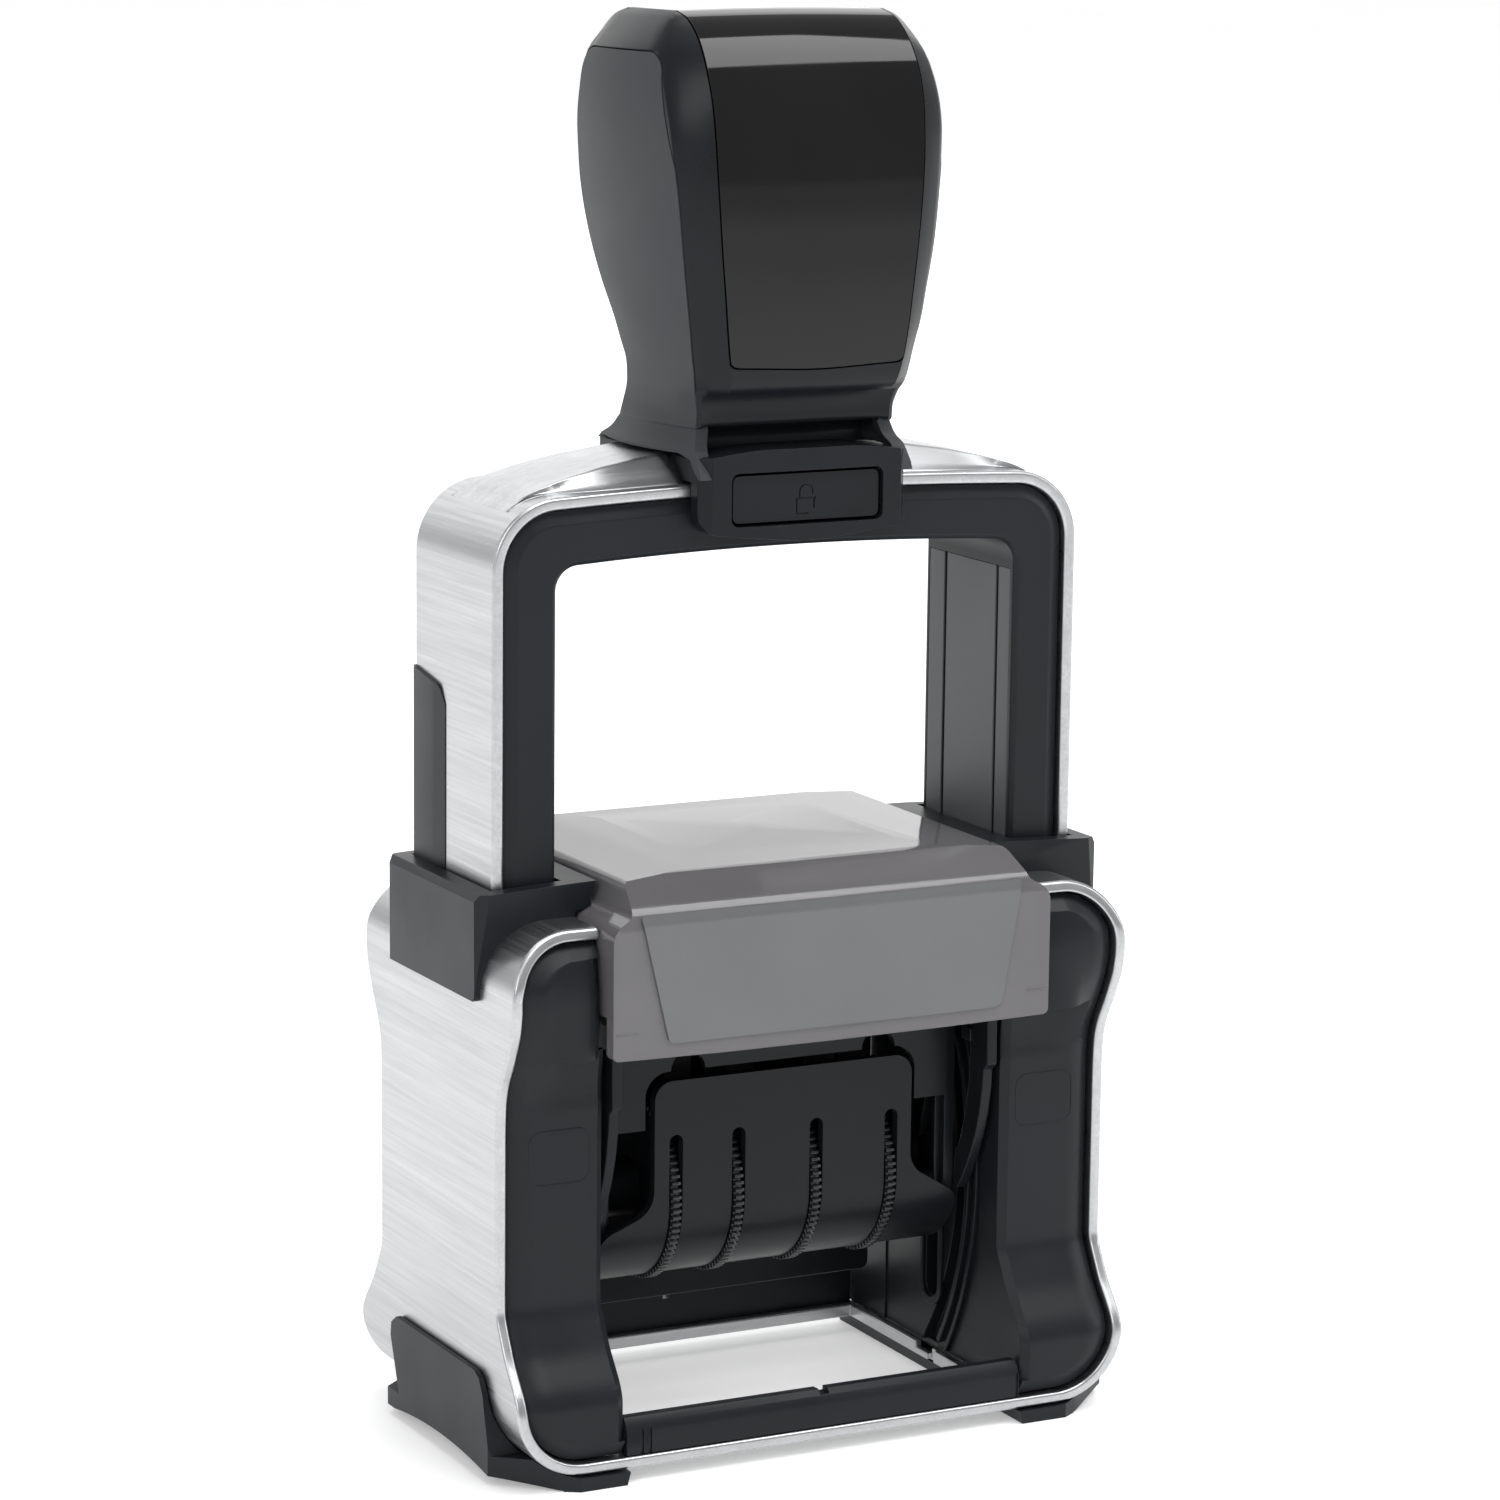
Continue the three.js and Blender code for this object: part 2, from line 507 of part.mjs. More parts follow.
// ---------------------------------------------------------------- rotor
const ROTOR_IN = ROTOR_HALF - PLATE_T;
const endOutline = [
  [-5.6, 21.1], [0, 18.9], [5.6, 21.1], [8.2, 25], [8.2, 32], [6.2, 38], [9.5, 44], [12.2, 49.2], [12.2, 50.4],
  [-12.2, 50.4], [-12.2, 49.2], [-9.5, 44], [-6.2, 38], [-8.2, 32], [-8.2, 25],
];
const carrier = block(-ROTOR_HALF, ROTOR_HALF, -12.2, 12.2, 49.2, 50.4)
  .subtract(block(-14.4, 14.4, -4.9, 4.9, 49, 51));
let rotor = carrier;
for (const side of [-1, 1]) {
  const inner = side * ROTOR_IN;
  const outer = side * ROTOR_HALF;
  const lo = Math.min(inner, outer);
  const hi = Math.max(inner, outer);
  const pinOut = side * (WALL_IN + CAM_DEPTH - GAP);
  rotor = rotor
    .add(prism('X', endOutline, lo, hi))
    .add(rod(CAM_PIN_R, Math.min(inner, pinOut), Math.max(inner, pinOut), 0, AXLE_Z + CAM_ARM, 20));
}
rotor = rotor
  .add(block(-ROTOR_IN - 1, ROTOR_IN + 1, 8.3, 9.5, 43.5, 49.5))
  .add(block(-ROTOR_IN - 1, ROTOR_IN + 1, -9.5, -8.3, 43.5, 49.5))
  .subtract(rod(AXLE_R + 0.1, -30, 30, 0, AXLE_Z))
  .subtract(rod(SHAFT_R + GAP, -30, 30, 0, WHEEL_Z));
add('rotor_frame', rotor, BLACK);

const armOutline = [
  ...smooth([[-9.3, 25.2], [-12.2, 29.5], [-14.2, 35], [-15.2, 41], [-14.9, 46]], 10),
  [-13.2, 46.6],
  ...smooth([[-12.0, 45.2], [-12.3, 41], [-11.6, 36], [-10.2, 31.5], [-8.9, 28.4]], 10),
];
addPair('rotor_arm', prism('X', armOutline.slice().reverse(), 23.1, 24.3)
  .add(block(23.1, 24.3, -12.5, -10.3, 43.4, 44.6)), BLACK);

add('wheel_shaft', rod(SHAFT_R, -ROTOR_HALF + 0.2, ROTOR_HALF - 0.2, 0, WHEEL_Z), WIRE);

const guardOuter = [
  [-GUARD_R, 42], ...arc(0, WHEEL_Z, GUARD_R, 180, 259, 12),
];
const guardInner = [
  [-GUARD_R + GUARD_T, 42], ...arc(0, WHEEL_Z, GUARD_R - GUARD_T, 180, 259, 12),
];
const guardFace = [
  [-22.8, 14], [22.8, 14], [22.8, 28.4], [16.4, 29.6], [16.4, 40.2], [15.8, 41.6], [14.4, 42], [-14.4, 42],
  [-15.8, 41.6], [-16.4, 40.2], [-16.4, 29.6], [-22.8, 28.4],
];
let guard = prism('X', [...guardOuter, ...guardInner.reverse()], -23, 23)
  .intersect(prism('Y', guardFace, -20, 20));
for (const x of WHEEL_X) {
  guard = guard.subtract(prism('Y', [
    [x - 0.9, 10], [x + 0.9, 10], ...arc(x, 34.8, 0.9, 0, 180, 6),
  ], -20, 20));
}
add('wheel_guard', guard, BLACK);

const ANVIL_LOW = 45.5;
const ANVIL_TOP = 50.6;
add('band_anvil', block(-14.1, 14.1, -3, 3, ANVIL_LOW, ANVIL_TOP), BLACK);

const textBars = [
  [7.2, 8.4, 14], [9.4, 10.6, 9],
];
let die = block(-DIE_HALF_X, DIE_HALF_X, -DIE_HALF_Y, DIE_HALF_Y, 50.7, 51.5);
for (const sign of [-1, 1]) {
  die = die
    .add(block(-DIE_HALF_X, DIE_HALF_X, sign * 11 - 0.5, sign * 11 + 0.5, 51.4, DIE_TOP))
    .add(block(sign * 20 - 0.5, sign * 20 + 0.5, -DIE_HALF_Y, DIE_HALF_Y, 51.4, DIE_TOP));
  for (const [a, b, w] of textBars) {
    const y0 = Math.min(sign * (a - 1), sign * (b - 1));
    const y1 = Math.max(sign * (a - 1), sign * (b - 1));
    die = die.add(block(-w, w, y0, y1, 51.4, DIE_TOP));
  }
}
die = die.subtract(block(-14.1, 14.1, -4.6, 4.6, 50, 53));
add('die_rubber', die, RUBBER);

const BAND_W = HUB_W - 2 * GAP;
const bandLoop = (r, halfTop, top) => [
  [halfTop, top], [-halfTop, top], ...arc(0, WHEEL_Z, r, 176, 364, 16),
];
WHEEL_X.forEach((x, i) => {
  const outer = bandLoop(HUB_R + 1.2, 4.2, DIE_TOP);
  const inner = bandLoop(HUB_R + GAP, 3.4, ANVIL_TOP + GAP);
  const near = WHEEL_T / 2 + GAP;
  const x0 = HUB_SIDE[i] > 0 ? x + near : x - near - BAND_W;
  const shape = prism('X', outer, x0, x0 + BAND_W).subtract(prism('X', inner, x0 - 1, x0 + BAND_W + 1));
  add(`date_band_${i + 1}`, shape, RUBBER);
});

const toothed = [];
for (let i = 0; i < WHEEL_TEETH; i += 1) {
  const step = (2 * Math.PI) / WHEEL_TEETH;
  for (const [f, r] of [[0.15, WHEEL_R - 0.6], [0.5, WHEEL_R], [0.85, WHEEL_R]]) {
    const a = (i + f) * step;
    toothed.push([r * Math.cos(a), WHEEL_Z + r * Math.sin(a)]);
  }
}
WHEEL_X.forEach((x, i) => {
  const disc = prism('X', toothed, x - WHEEL_T / 2, x + WHEEL_T / 2);
  const far = x + HUB_SIDE[i] * (WHEEL_T / 2 + HUB_W);
  const hub = rod(HUB_R, Math.min(x, far), Math.max(x, far), 0, WHEEL_Z, 32);
  add(`date_wheel_${i + 1}`, disc.add(hub).subtract(rod(WHEEL_BORE, -30, 30, 0, WHEEL_Z)), BLACK);
});

// ---------------------------------------------------------------- ink cassette
const hoodTop = [
  [23.8, 66.6], [23, 67.2], [12, 68.0], [0, 68.3], [-12, 68.0], [-23, 67.2], [-23.8, 66.6],
];
const hoodFace = [
  [-HOOD_HALF, HOOD_LOW], [HOOD_HALF, HOOD_LOW], [HOOD_HALF, 62.2], [25.2, 63.1], [BOX_HALF + 0.4, 63.8],
  ...hoodTop, [-BOX_HALF - 0.4, 63.8], [-25.2, 63.1], [-HOOD_HALF, 62.2],
];
const hoodSide = [
  [HOOD_FRONT, 47], [HOOD_BACK, 47], [HOOD_BACK, 66.2], [HOOD_BACK - 1.2, 67.4], [0, 68.4], [-15.6, 67.6],
  [-17.4, 66.9], [-20.6, 65.4], [-21.6, 64.4], [HOOD_FRONT, 62.8],
];
const inFace = [
  [-HOOD_HALF + HOOD_T, 40], [HOOD_HALF - HOOD_T, 40], [HOOD_HALF - HOOD_T, 61.2], [23.2, 62.6], [22.8, 65.8],
  [12, 66.7], [0, 67.0], [-12, 66.7], [-22.8, 65.8], [-23.2, 62.6], [-HOOD_HALF + HOOD_T, 61.2],
];
const inSide = [
  [HOOD_FRONT + HOOD_T, 40], [HOOD_BACK - HOOD_T, 40], [HOOD_BACK - HOOD_T, 66], [0, 67.1], [-15.4, 66.3],
  [-20, 64.3], [HOOD_FRONT + HOOD_T, 62.4],
];
const hood = prism('Y', hoodFace, -25, 25).intersect(prism('X', hoodSide, -30, 30))
  .subtract(prism('Y', inFace, -25, 25).intersect(prism('X', inSide, -30, 30)))
  .subtract(block(-30, 30, -20.3, 30, 40, DIE_TOP + 0.5));
add('cassette_hood', hood, SMOKE);

const cardOutline = [[-21, 50.3], [21, 50.3], [23, 61.8], [-23, 61.8]];
add('index_card', prism('Y', cardOutline, HOOD_FRONT + HOOD_T + GAP, HOOD_FRONT + HOOD_T + GAP + 0.4), CARD);

const tray = block(-25.7, 25.7, -16.4, 16.2, 54, 60.6).subtract(block(-22.7, 22.7, -14.1, 14.1, 50, 58.4));
add('pad_tray', tray, BLACK);
add('ink_pad', block(-22.4, 22.4, -13.8, 13.8, PAD_BOTTOM, 58.1), FELT);

export default stamp;
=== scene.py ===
import json
import math
import bmesh
import bpy
import numpy as np
from mathutils import Matrix, Vector


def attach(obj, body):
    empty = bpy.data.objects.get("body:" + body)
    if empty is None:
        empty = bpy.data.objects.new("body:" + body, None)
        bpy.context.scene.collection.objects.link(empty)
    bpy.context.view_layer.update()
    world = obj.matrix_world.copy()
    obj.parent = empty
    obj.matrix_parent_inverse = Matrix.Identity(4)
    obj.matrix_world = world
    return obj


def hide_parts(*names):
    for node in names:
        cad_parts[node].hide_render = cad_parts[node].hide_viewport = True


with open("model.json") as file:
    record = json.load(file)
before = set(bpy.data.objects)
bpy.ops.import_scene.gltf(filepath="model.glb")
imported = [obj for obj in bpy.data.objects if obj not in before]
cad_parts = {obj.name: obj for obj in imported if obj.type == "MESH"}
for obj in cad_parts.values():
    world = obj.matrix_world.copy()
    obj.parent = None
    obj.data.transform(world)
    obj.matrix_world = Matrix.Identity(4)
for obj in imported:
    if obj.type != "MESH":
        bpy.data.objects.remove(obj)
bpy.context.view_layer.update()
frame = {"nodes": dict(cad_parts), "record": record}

MM = 0.001
nodes = frame["nodes"]


# ------------------------------------------------------------------ materials
class Nodes:
    """A material with short ways to add nodes to it."""

    def __init__(self, name, color, rough, metal=0.0, **sockets):
        self.mat = bpy.data.materials.new(name)
        self.mat.use_nodes = True
        self.t = self.mat.node_tree
        self.bsdf = self.t.nodes["Principled BSDF"]
        self.set("Base Color", (*color, 1))
        self.set("Roughness", rough)
        self.set("Metallic", metal)
        for k, v in sockets.items():
            self.set(k.replace("_", " "), v)
        self.coord = self.add("ShaderNodeTexCoord").outputs["Object"]

    def set(self, socket, value):
        self.bsdf.inputs[socket].default_value = value

    def add(self, kind, **props):
        n = self.t.nodes.new(kind)
        for k, v in props.items():
            setattr(n, k, v)
        return n

    def link(self, a, b):
        self.t.links.new(a, b)

    def noise(self, scale, stretch=(1, 1, 1), detail=3.0, rough=0.5, turn=(0, 0, 0)):
        m = self.add("ShaderNodeMapping")
        m.inputs["Scale"].default_value = stretch
        m.inputs["Rotation"].default_value = turn
        self.link(self.coord, m.inputs["Vector"])
        n = self.add("ShaderNodeTexNoise")
        n.inputs["Scale"].default_value = scale
        n.inputs["Detail"].default_value = detail
        n.inputs["Roughness"].default_value = rough
        self.link(m.outputs["Vector"], n.inputs["Vector"])
        return n.outputs["Fac"]

    def ramp(self, fac, low, high, a=0.35, b=0.65):
        r = self.add("ShaderNodeMapRange")
        r.inputs["From Min"].default_value = a
        r.inputs["From Max"].default_value = b
        r.inputs["To Min"].default_value = low
        r.inputs["To Max"].default_value = high
        self.link(fac, r.inputs["Value"])
        return r.outputs["Result"]

    def tint(self, fac, c0, c1, a=0.35, b=0.65):
        r = self.add("ShaderNodeValToRGB")
        r.color_ramp.elements[0].position = a
        r.color_ramp.elements[1].position = b
        r.color_ramp.elements[0].color = (*c0, 1)
        r.color_ramp.elements[1].color = (*c1, 1)
        self.link(fac, r.inputs["Fac"])
        self.link(r.outputs["Color"], self.bsdf.inputs["Base Color"])

    def rough(self, fac, low, high, a=0.35, b=0.65):
        self.link(self.ramp(fac, low, high, a, b), self.bsdf.inputs["Roughness"])

    def bump(self, fac, strength, distance=0.05):
        b = self.add("ShaderNodeBump")
        b.inputs["Strength"].default_value = strength
        b.inputs["Distance"].default_value = distance * MM
        self.link(fac, b.inputs["Height"])
        self.link(b.outputs["Normal"], self.bsdf.inputs["Normal"])
        return b


def brushed(name, low, high, stretch=(1, 0.02, 1)):
    m = Nodes(name, high, 0.3, 1.0)
    fine = m.noise(2600, stretch, 3, 0.6)
    broad = m.noise(420, stretch, 4, 0.6)
    mixed = m.add("ShaderNodeMath", operation="MULTIPLY_ADD")
    mixed.inputs[1].default_value = 0.6
    m.link(fine, mixed.inputs[0])
    half = m.add("ShaderNodeMath", operation="MULTIPLY")
    half.inputs[1].default_value = 0.4
    m.link(broad, half.inputs[0])
    m.link(half.outputs["Value"], mixed.inputs[2])
    m.tint(mixed.outputs["Value"], low, high, 0.36, 0.62)
    m.rough(mixed.outputs["Value"], 0.40, 0.26)
    m.bump(fine, 0.12, 0.012)
    return m.mat


def plastic(name, color, rough, grain=0.12, scale=2600, spec=0.5):
    m = Nodes(name, color, sum(rough) / 2)
    m.set("Specular IOR Level", spec)
    g = m.noise(scale, detail=2)
    cloud = m.noise(60, detail=4)
    m.tint(cloud, tuple(c * 0.9 for c in color), tuple(c * 1.12 for c in color))
    m.rough(cloud, *rough)
    m.bump(g, grain, 0.03)
    return m.mat


STEEL_SIDE = brushed("steel_brushed", (0.470, 0.480, 0.490), (0.535, 0.545, 0.555))
STEEL_TOP = brushed("steel_brushed_top", (0.49, 0.50, 0.51), (0.55, 0.56, 0.57), (0.03, 1, 1))
BLACK = plastic("plastic_black", (0.0095, 0.0118, 0.0142), (0.34, 0.44), spec=0.23)
SATIN = plastic("plastic_satin", (0.0085, 0.0105, 0.0125), (0.26, 0.34), 0.05, spec=0.2)
SOFT = plastic("soft_touch", (0.036, 0.0405, 0.044), (0.52, 0.64), 0.22, 1800, 0.3)
MECH = plastic("plastic_mechanism", (0.0085, 0.0105, 0.0125), (0.28, 0.38), 0.08, spec=0.2)
# lighter grey copy of the black plastic: painted light that makes the inner faces of the legs look brightly
# lit
RAIL_PAINTED_LIGHT = plastic("plastic_rail_painted_light", (0.088, 0.093, 0.098), (0.38, 0.48), spec=0.3)
TOOTH = plastic("plastic_wheel", (0.016, 0.018, 0.020), (0.25, 0.34), 0.05, spec=0.5)
RUBBER = plastic("rubber_die", (0.020, 0.020, 0.021), (0.7, 0.85), 0.3, 1500, 0.3)
FELT = plastic("ink_felt", (0.012, 0.018, 0.07), (0.8, 0.95), 0.9, 700, 0.2)
CARD = plastic("index_card", (0.30, 0.30, 0.31), (0.6, 0.7), 0.05)


def gloss():
    m = Nodes("panel_gloss", (0.004, 0.004, 0.005), 0.06, 0.0, Specular_IOR_Level=0.36)
    smear = m.noise(35, detail=5)
    m.rough(smear, 0.03, 0.075)
    m.tint(smear, (0.0035, 0.0035, 0.004), (0.006, 0.006, 0.0065))
    m.bump(m.noise(120, detail=1), 0.01, 0.02)
    return m.mat


def smoke(name, color, clear):
    m = Nodes(name, color, 0.08, 0.0, Transmission_Weight=clear, IOR=1.49)
    cloud = m.noise(50, detail=3)
    m.rough(cloud, 0.05, 0.11)
    m.tint(cloud, tuple(c * 0.97 for c in color), tuple(c * 1.04 for c in color))
    m.bump(m.noise(160, detail=1), 0.01, 0.02)
    return m.mat


def wire():
    m = Nodes("spring_wire", (0.6, 0.61, 0.62), 0.25, 1.0)
    n = m.noise(1500, (1, 1, 0.1), 3)
    m.rough(n, 0.18, 0.34)
    m.tint(n, (0.5, 0.51, 0.52), (0.66, 0.67, 0.68))
    m.bump(n, 0.1, 0.01)
    return m.mat


GLOSS, WIRE = gloss(), wire()
SMOKE = smoke("smoke_clear", (0.235, 0.226, 0.238), 0.5)
SMOKE_FRONT = smoke("smoke_front", (0.195, 0.198, 0.204), 0.35)

# ------------------------------------------------------------------ finishes of the CAD nodes that stay
FINISH = {
    "steel": STEEL_SIDE, "black_plastic": BLACK, "soft_touch": SOFT, "satin_black": SATIN,
    "gloss_black": GLOSS,
    "smoke": SMOKE, "die_rubber": RUBBER, "ink_felt": FELT, "card": CARD, "spring_steel": WIRE,
}
for sub in frame["record"]["subparts"]:
    o = nodes[sub["node"]]
    o.data.materials.clear()
    o.data.materials.append(FINISH[sub["material_slot"]])


def soften(o, width, seg=3, angle=28):
    weld = o.modifiers.new("weld", "WELD")
    weld.merge_threshold = 0.002 * MM
    flat = o.modifiers.new("flat", "DECIMATE")
    flat.decimate_type = "DISSOLVE"
    flat.angle_limit = math.radians(1.5)
    b = o.modifiers.new("bevel", "BEVEL")
    b.width = width * MM
    b.segments = seg
    b.limit_method = "ANGLE"
    b.angle_limit = math.radians(angle)
    b.use_clamp_overlap = True
    o.modifiers.new("normals", "WEIGHTED_NORMAL").keep_sharp = True
    for p in o.data.polygons:
        p.use_smooth = True


EDGE = {"return_spring_left": 0, "return_spring_right": 0, "index_card": 0.05, "leg_strip_left": 0.15,
        "leg_strip_right": 0.15}
for name, o in nodes.items():
    width = EDGE.get(name, 0.25)
    if width:
        soften(o, width)

# ------------------------------------------------------- mesh helpers (millimetres in, metres out)
def new_object(name, verts, faces):
    me = bpy.data.meshes.new(name)
    me.from_pydata([Vector(v) * MM for v in verts], [], faces)
    bm = bmesh.new()
    bm.from_mesh(me)
    bmesh.ops.remove_doubles(bm, verts=bm.verts, dist=0.002 * MM)
    bmesh.ops.recalc_face_normals(bm, faces=bm.faces)
    bm.to_mesh(me)
    bm.free()
    o = bpy.data.objects.new(name, me)
    bpy.context.scene.collection.objects.link(o)
    return o


def arc(u, v, r, a0, a1, n=10):
    return [(u + r * math.cos(math.radians(a0 + (a1 - a0) * i / n)),
             v + r * math.sin(math.radians(a0 + (a1 - a0) * i / n))) for i in range(n + 1)]


def rounded(points, n=6):
    """A closed outline from (u, v, radius) corners."""
    out = []
    for i, (u, v, r) in enumerate(points):
        p = Vector((u, v))
        a = (Vector(points[i - 1][:2]) - p).normalized()
        b = (Vector(points[(i + 1) % len(points)][:2]) - p).normalized()
        if r <= 0:
            out.append((u, v))
            continue
        half = a.angle(b) / 2
        reach = r / math.tan(half)
        centre = p + (a + b).normalized() * (r / math.sin(half))
        s, e = p + a * reach - centre, p + b * reach - centre
        turn = s.angle_signed(e)
        for k in range(n + 1):
            t = -turn * k / n
            out.append((centre.x + s.x * math.cos(t) - s.y * math.sin(t),
                        centre.y + s.x * math.sin(t) + s.y * math.cos(t)))
    return out


ORDER = {"X": lambda u, v, w: (w, u, v), "Y": lambda u, v, w: (u, w, v), "Z": lambda u, v, w: (u, v, w)}


def prism(axis, outline, lo, hi):
    place = ORDER[axis]
    n = len(outline)
    verts = [place(u, v, lo) for u, v in outline] + [place(u, v, hi) for u, v in outline]
    faces = [list(range(n)), list(range(n, 2 * n))]
    faces += [[i, (i + 1) % n, n + (i + 1) % n, n + i] for i in range(n)]
    return verts, faces


def loft(rings, closed=True, caps=True):
    n = len(rings[0])
    verts = [p for ring in rings for p in ring]
    faces = []
    last = n if closed else n - 1
    for k in range(len(rings) - 1):
        for i in range(last):
            j = (i + 1) % n
            faces.append([k * n + i, k * n + j, (k + 1) * n + j, (k + 1) * n + i])
    if caps:
        faces += [list(range(n)), list(range((len(rings) - 1) * n, len(rings) * n))]
    return verts, faces


def merge(*parts):
    verts, faces = [], []
    for v, f in parts:
        k = len(verts)
        verts += list(v)
        faces += [[i + k for i in face] for face in f]
    return verts, faces


def box(x0, x1, y0, y1, z0, z1):
    return prism("Z", [(x0, y0), (x1, y0), (x1, y1), (x0, y1)], z0, z1)


def mirror_x(part):
    return [(-x, y, z) for x, y, z in part[0]], part[1]


def mirror_y(part):
    return [(x, -y, z) for x, y, z in part[0]], part[1]


def boolean(o, part, operation="DIFFERENCE"):
    return cut_with(o, new_object("tool", *part), operation)


def cut_with(o, tool, operation="DIFFERENCE"):
    """Combine an object with a tool object, which is used up."""
    m = o.modifiers.new("cut", "BOOLEAN")
    m.object = tool
    m.operation = operation
    m.solver = "EXACT"
    apply_modifiers(o)
    bpy.data.objects.remove(tool)
    return o


def apply_modifiers(o):
    """Replace an object's mesh by the result of its modifiers."""
    bpy.context.view_layer.update()
    done = bpy.data.meshes.new_from_object(o.evaluated_get(bpy.context.evaluated_depsgraph_get()))
    o.modifiers.clear()
    o.data = done


def round_edges(o, width, seg, angle):
    b = o.modifiers.new("round", "BEVEL")
    b.width, b.segments, b.limit_method = width * MM, seg, "ANGLE"
    b.angle_limit = math.radians(angle)
    apply_modifiers(o)


def piece(o, body, mat, slot, cad=(), bevel=0.25, seg=3, angle=30, sharp=32, keep_sharp=False):
    for p in o.data.polygons:
        p.use_smooth = True
    o.data.set_sharp_from_angle(angle=math.radians(sharp))
    if bevel:
        b = o.modifiers.new("bevel", "BEVEL")
        b.width = bevel * MM
        b.segments = seg
        b.limit_method = "ANGLE"
        b.angle_limit = math.radians(angle)
        b.harden_normals = False
    w = o.modifiers.new("normals", "WEIGHTED_NORMAL")
    w.keep_sharp = keep_sharp
    w.weight = 60
    o.data.materials.clear()
    o.data.materials.append(mat)
    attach(o, body)
    if cad:
        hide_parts(*cad)
    return o


def pair(name, part, body, mat, slot, cad, cuts=(), **kw):
    """The right-hand piece and its mirror image on the left."""
    for side, turn in (("right", lambda p: p), ("left", mirror_x)):
        o = new_object(f"{name}_{side}", *turn(part))
        for c in cuts:
            boolean(o, turn(c))
        piece(o, body, mat, slot, [f"{c}_{side}" for c in cad], **kw)


# ------------------------------------------------------------------ base
HALF_W, BOTTOM, TOP, R_LOW, R_TOP = 38.5, 1.7, 62.5, 8.5, 7.5
HALF_DEPTH = [
    (1.7, 21.6), (4.5, 21.75), (7.6, 21.85), (9.6, 21.9), (11.2, 21.2), (14.6, 18.5), (18.6, 16.3),
    (19.3, 16.02),
    (24, 16.0), (32, 16.0), (40, 16.0), (43.3, 16.2), (45.5, 16.9), (47.8, 18.2), (51.5, 19.9), (54, 20.4),
    (57, 20.3), (60, 19.2), (62.6, 18.2),
]
DEPTH_Z = np.arange(0, 66, 0.25)
raw = np.interp(DEPTH_Z, *zip(*HALF_DEPTH))
kernel = np.hanning(9)
DEPTH_D = np.convolve(np.pad(raw, 4, mode="edge"), kernel / kernel.sum(), mode="valid")


def depth(z):
    return float(np.interp(z, DEPTH_Z, DEPTH_D))


def base_path(t, x_top=27.3, x_low=0.0):
    """Right half of the base's outline at depth t inside its outer face, from the shoulder to the floor."""
    side = np.linspace(TOP - R_TOP, BOTTOM + R_LOW, 66)[1:-1]
    return ([(x_top, TOP - t)] + arc(HALF_W - R_TOP, TOP - R_TOP, R_TOP - t, 90, 0, 16)
            + [(HALF_W - t, float(z)) for z in side]
            + arc(HALF_W - R_LOW, BOTTOM + R_LOW, R_LOW - t, 0, -90, 16) + [(x_low, BOTTOM + t)])


BAND_T = 1.3
outer, inner = base_path(0), base_path(BAND_T)
outer += [(-x, z) for x, z in reversed(outer[:-1])]
inner += [(-x, z) for x, z in reversed(inner[:-1])]
rings = [[(xo, -depth(zo), zo), (xo, depth(zo), zo), (xi, depth(zi), zi), (xi, -depth(zi), zi)]
         for (xo, zo), (xi, zi) in zip(outer, inner)]
o = new_object("base_band", *loft(rings))
boolean(o, box(-27, 27, -19.5, 19.5, 0, 4))
round_edges(o, 0.4, 4, 40)
under_cap = [(-11.4, 54.1), (11.7, 54.1), (12.8, 63.4), (12.2, 70), (-12.5, 70)]
for s in (-1, 1):
    boolean(o, prism("X", under_cap, min(s * 20, s * 45), max(s * 20, s * 45)))
piece(o, "base", STEEL_SIDE, "steel", ["base_steel_band"], bevel=0, keep_sharp=True)


def flange(z_lo, z_hi, x_in, surface, back):
    """Front part of a side housing: a strip along the steel band, then rows across to the inner edge."""
    gap = BAND_T + 0.25
    edge = base_path(gap, 27.6, x_in)
    mid = base_path(gap + 1.7, 27.6, x_in)
    keep = [k for k, (a, b) in enumerate(zip(edge, mid)) if z_lo - 1e-6 <= b[1] <= z_hi + 1e-6]
    cols = [0.0, 0.16, 0.34, 0.5, 0.66, 0.82, 1.0]
    verts, faces = [], []
    for k in keep:
        (xe, ze), (xm, zm) = edge[k], mid[k]
        x_start = max(x_in, 27.6) if zm > 48.15 else x_in
        row = [(xe, -(depth(ze) - 1.25), ze)]
        first = [x_start, min(x_start + 0.9, xm)]
        xs = first + [first[1] + (xm - first[1]) * c for c in cols[1:]]
        for i, x in enumerate(reversed(xs)):
            y = surface(x, zm) + (0.8 if i == len(xs) - 1 else 0.0)
            row.append((x, y, zm))
        verts.append(row)
    rows, n = len(verts), len(verts[0])
    flat = [p for row in verts for p in row]
    flat += [(x, back, z) for x, y, z in flat]
    half = rows * n
    for k in range(rows - 1):
        for i in range(n - 1):
            a = k * n + i
            q = [a, a + 1, a + n + 1, a + n]
            faces += [q, [j + half for j in q]]
    rim = ([k * n for k in range(rows)] + [(rows - 1) * n + i for i in range(1, n)]
           + [k * n + n - 1 for k in range(rows - 2, -1, -1)] + [i for i in range(n - 2, 0, -1)])
    faces += [[a, b, b + half, a + half] for a, b in zip(rim, rim[1:] + rim[:1])]
    return flat, faces


def fade(x, lo, hi):
    t = min(1.0, max(0.0, (x - lo) / (hi - lo)))
    return t * t * (3 - 2 * t)


def lower_face(x, z):
    d = depth(z) - 0.25
    if z > 42:
        waist = 15.75 + 0.35 * fade(z, 44, 48)
        d = waist + (d - waist) * fade(x, 30.5, 35.4)
    return -d


def upper_face(x, z):
    d = depth(z) - 0.25
    bulge = 20.35 - 0.030 * max(0.0, z - 54) ** 2
    d = d + max(0.0, bulge - d) * (1 - fade(x, 31.5, 35.5))
    return -(d - 0.055 * max(0.0, 31.0 - x) ** 2)


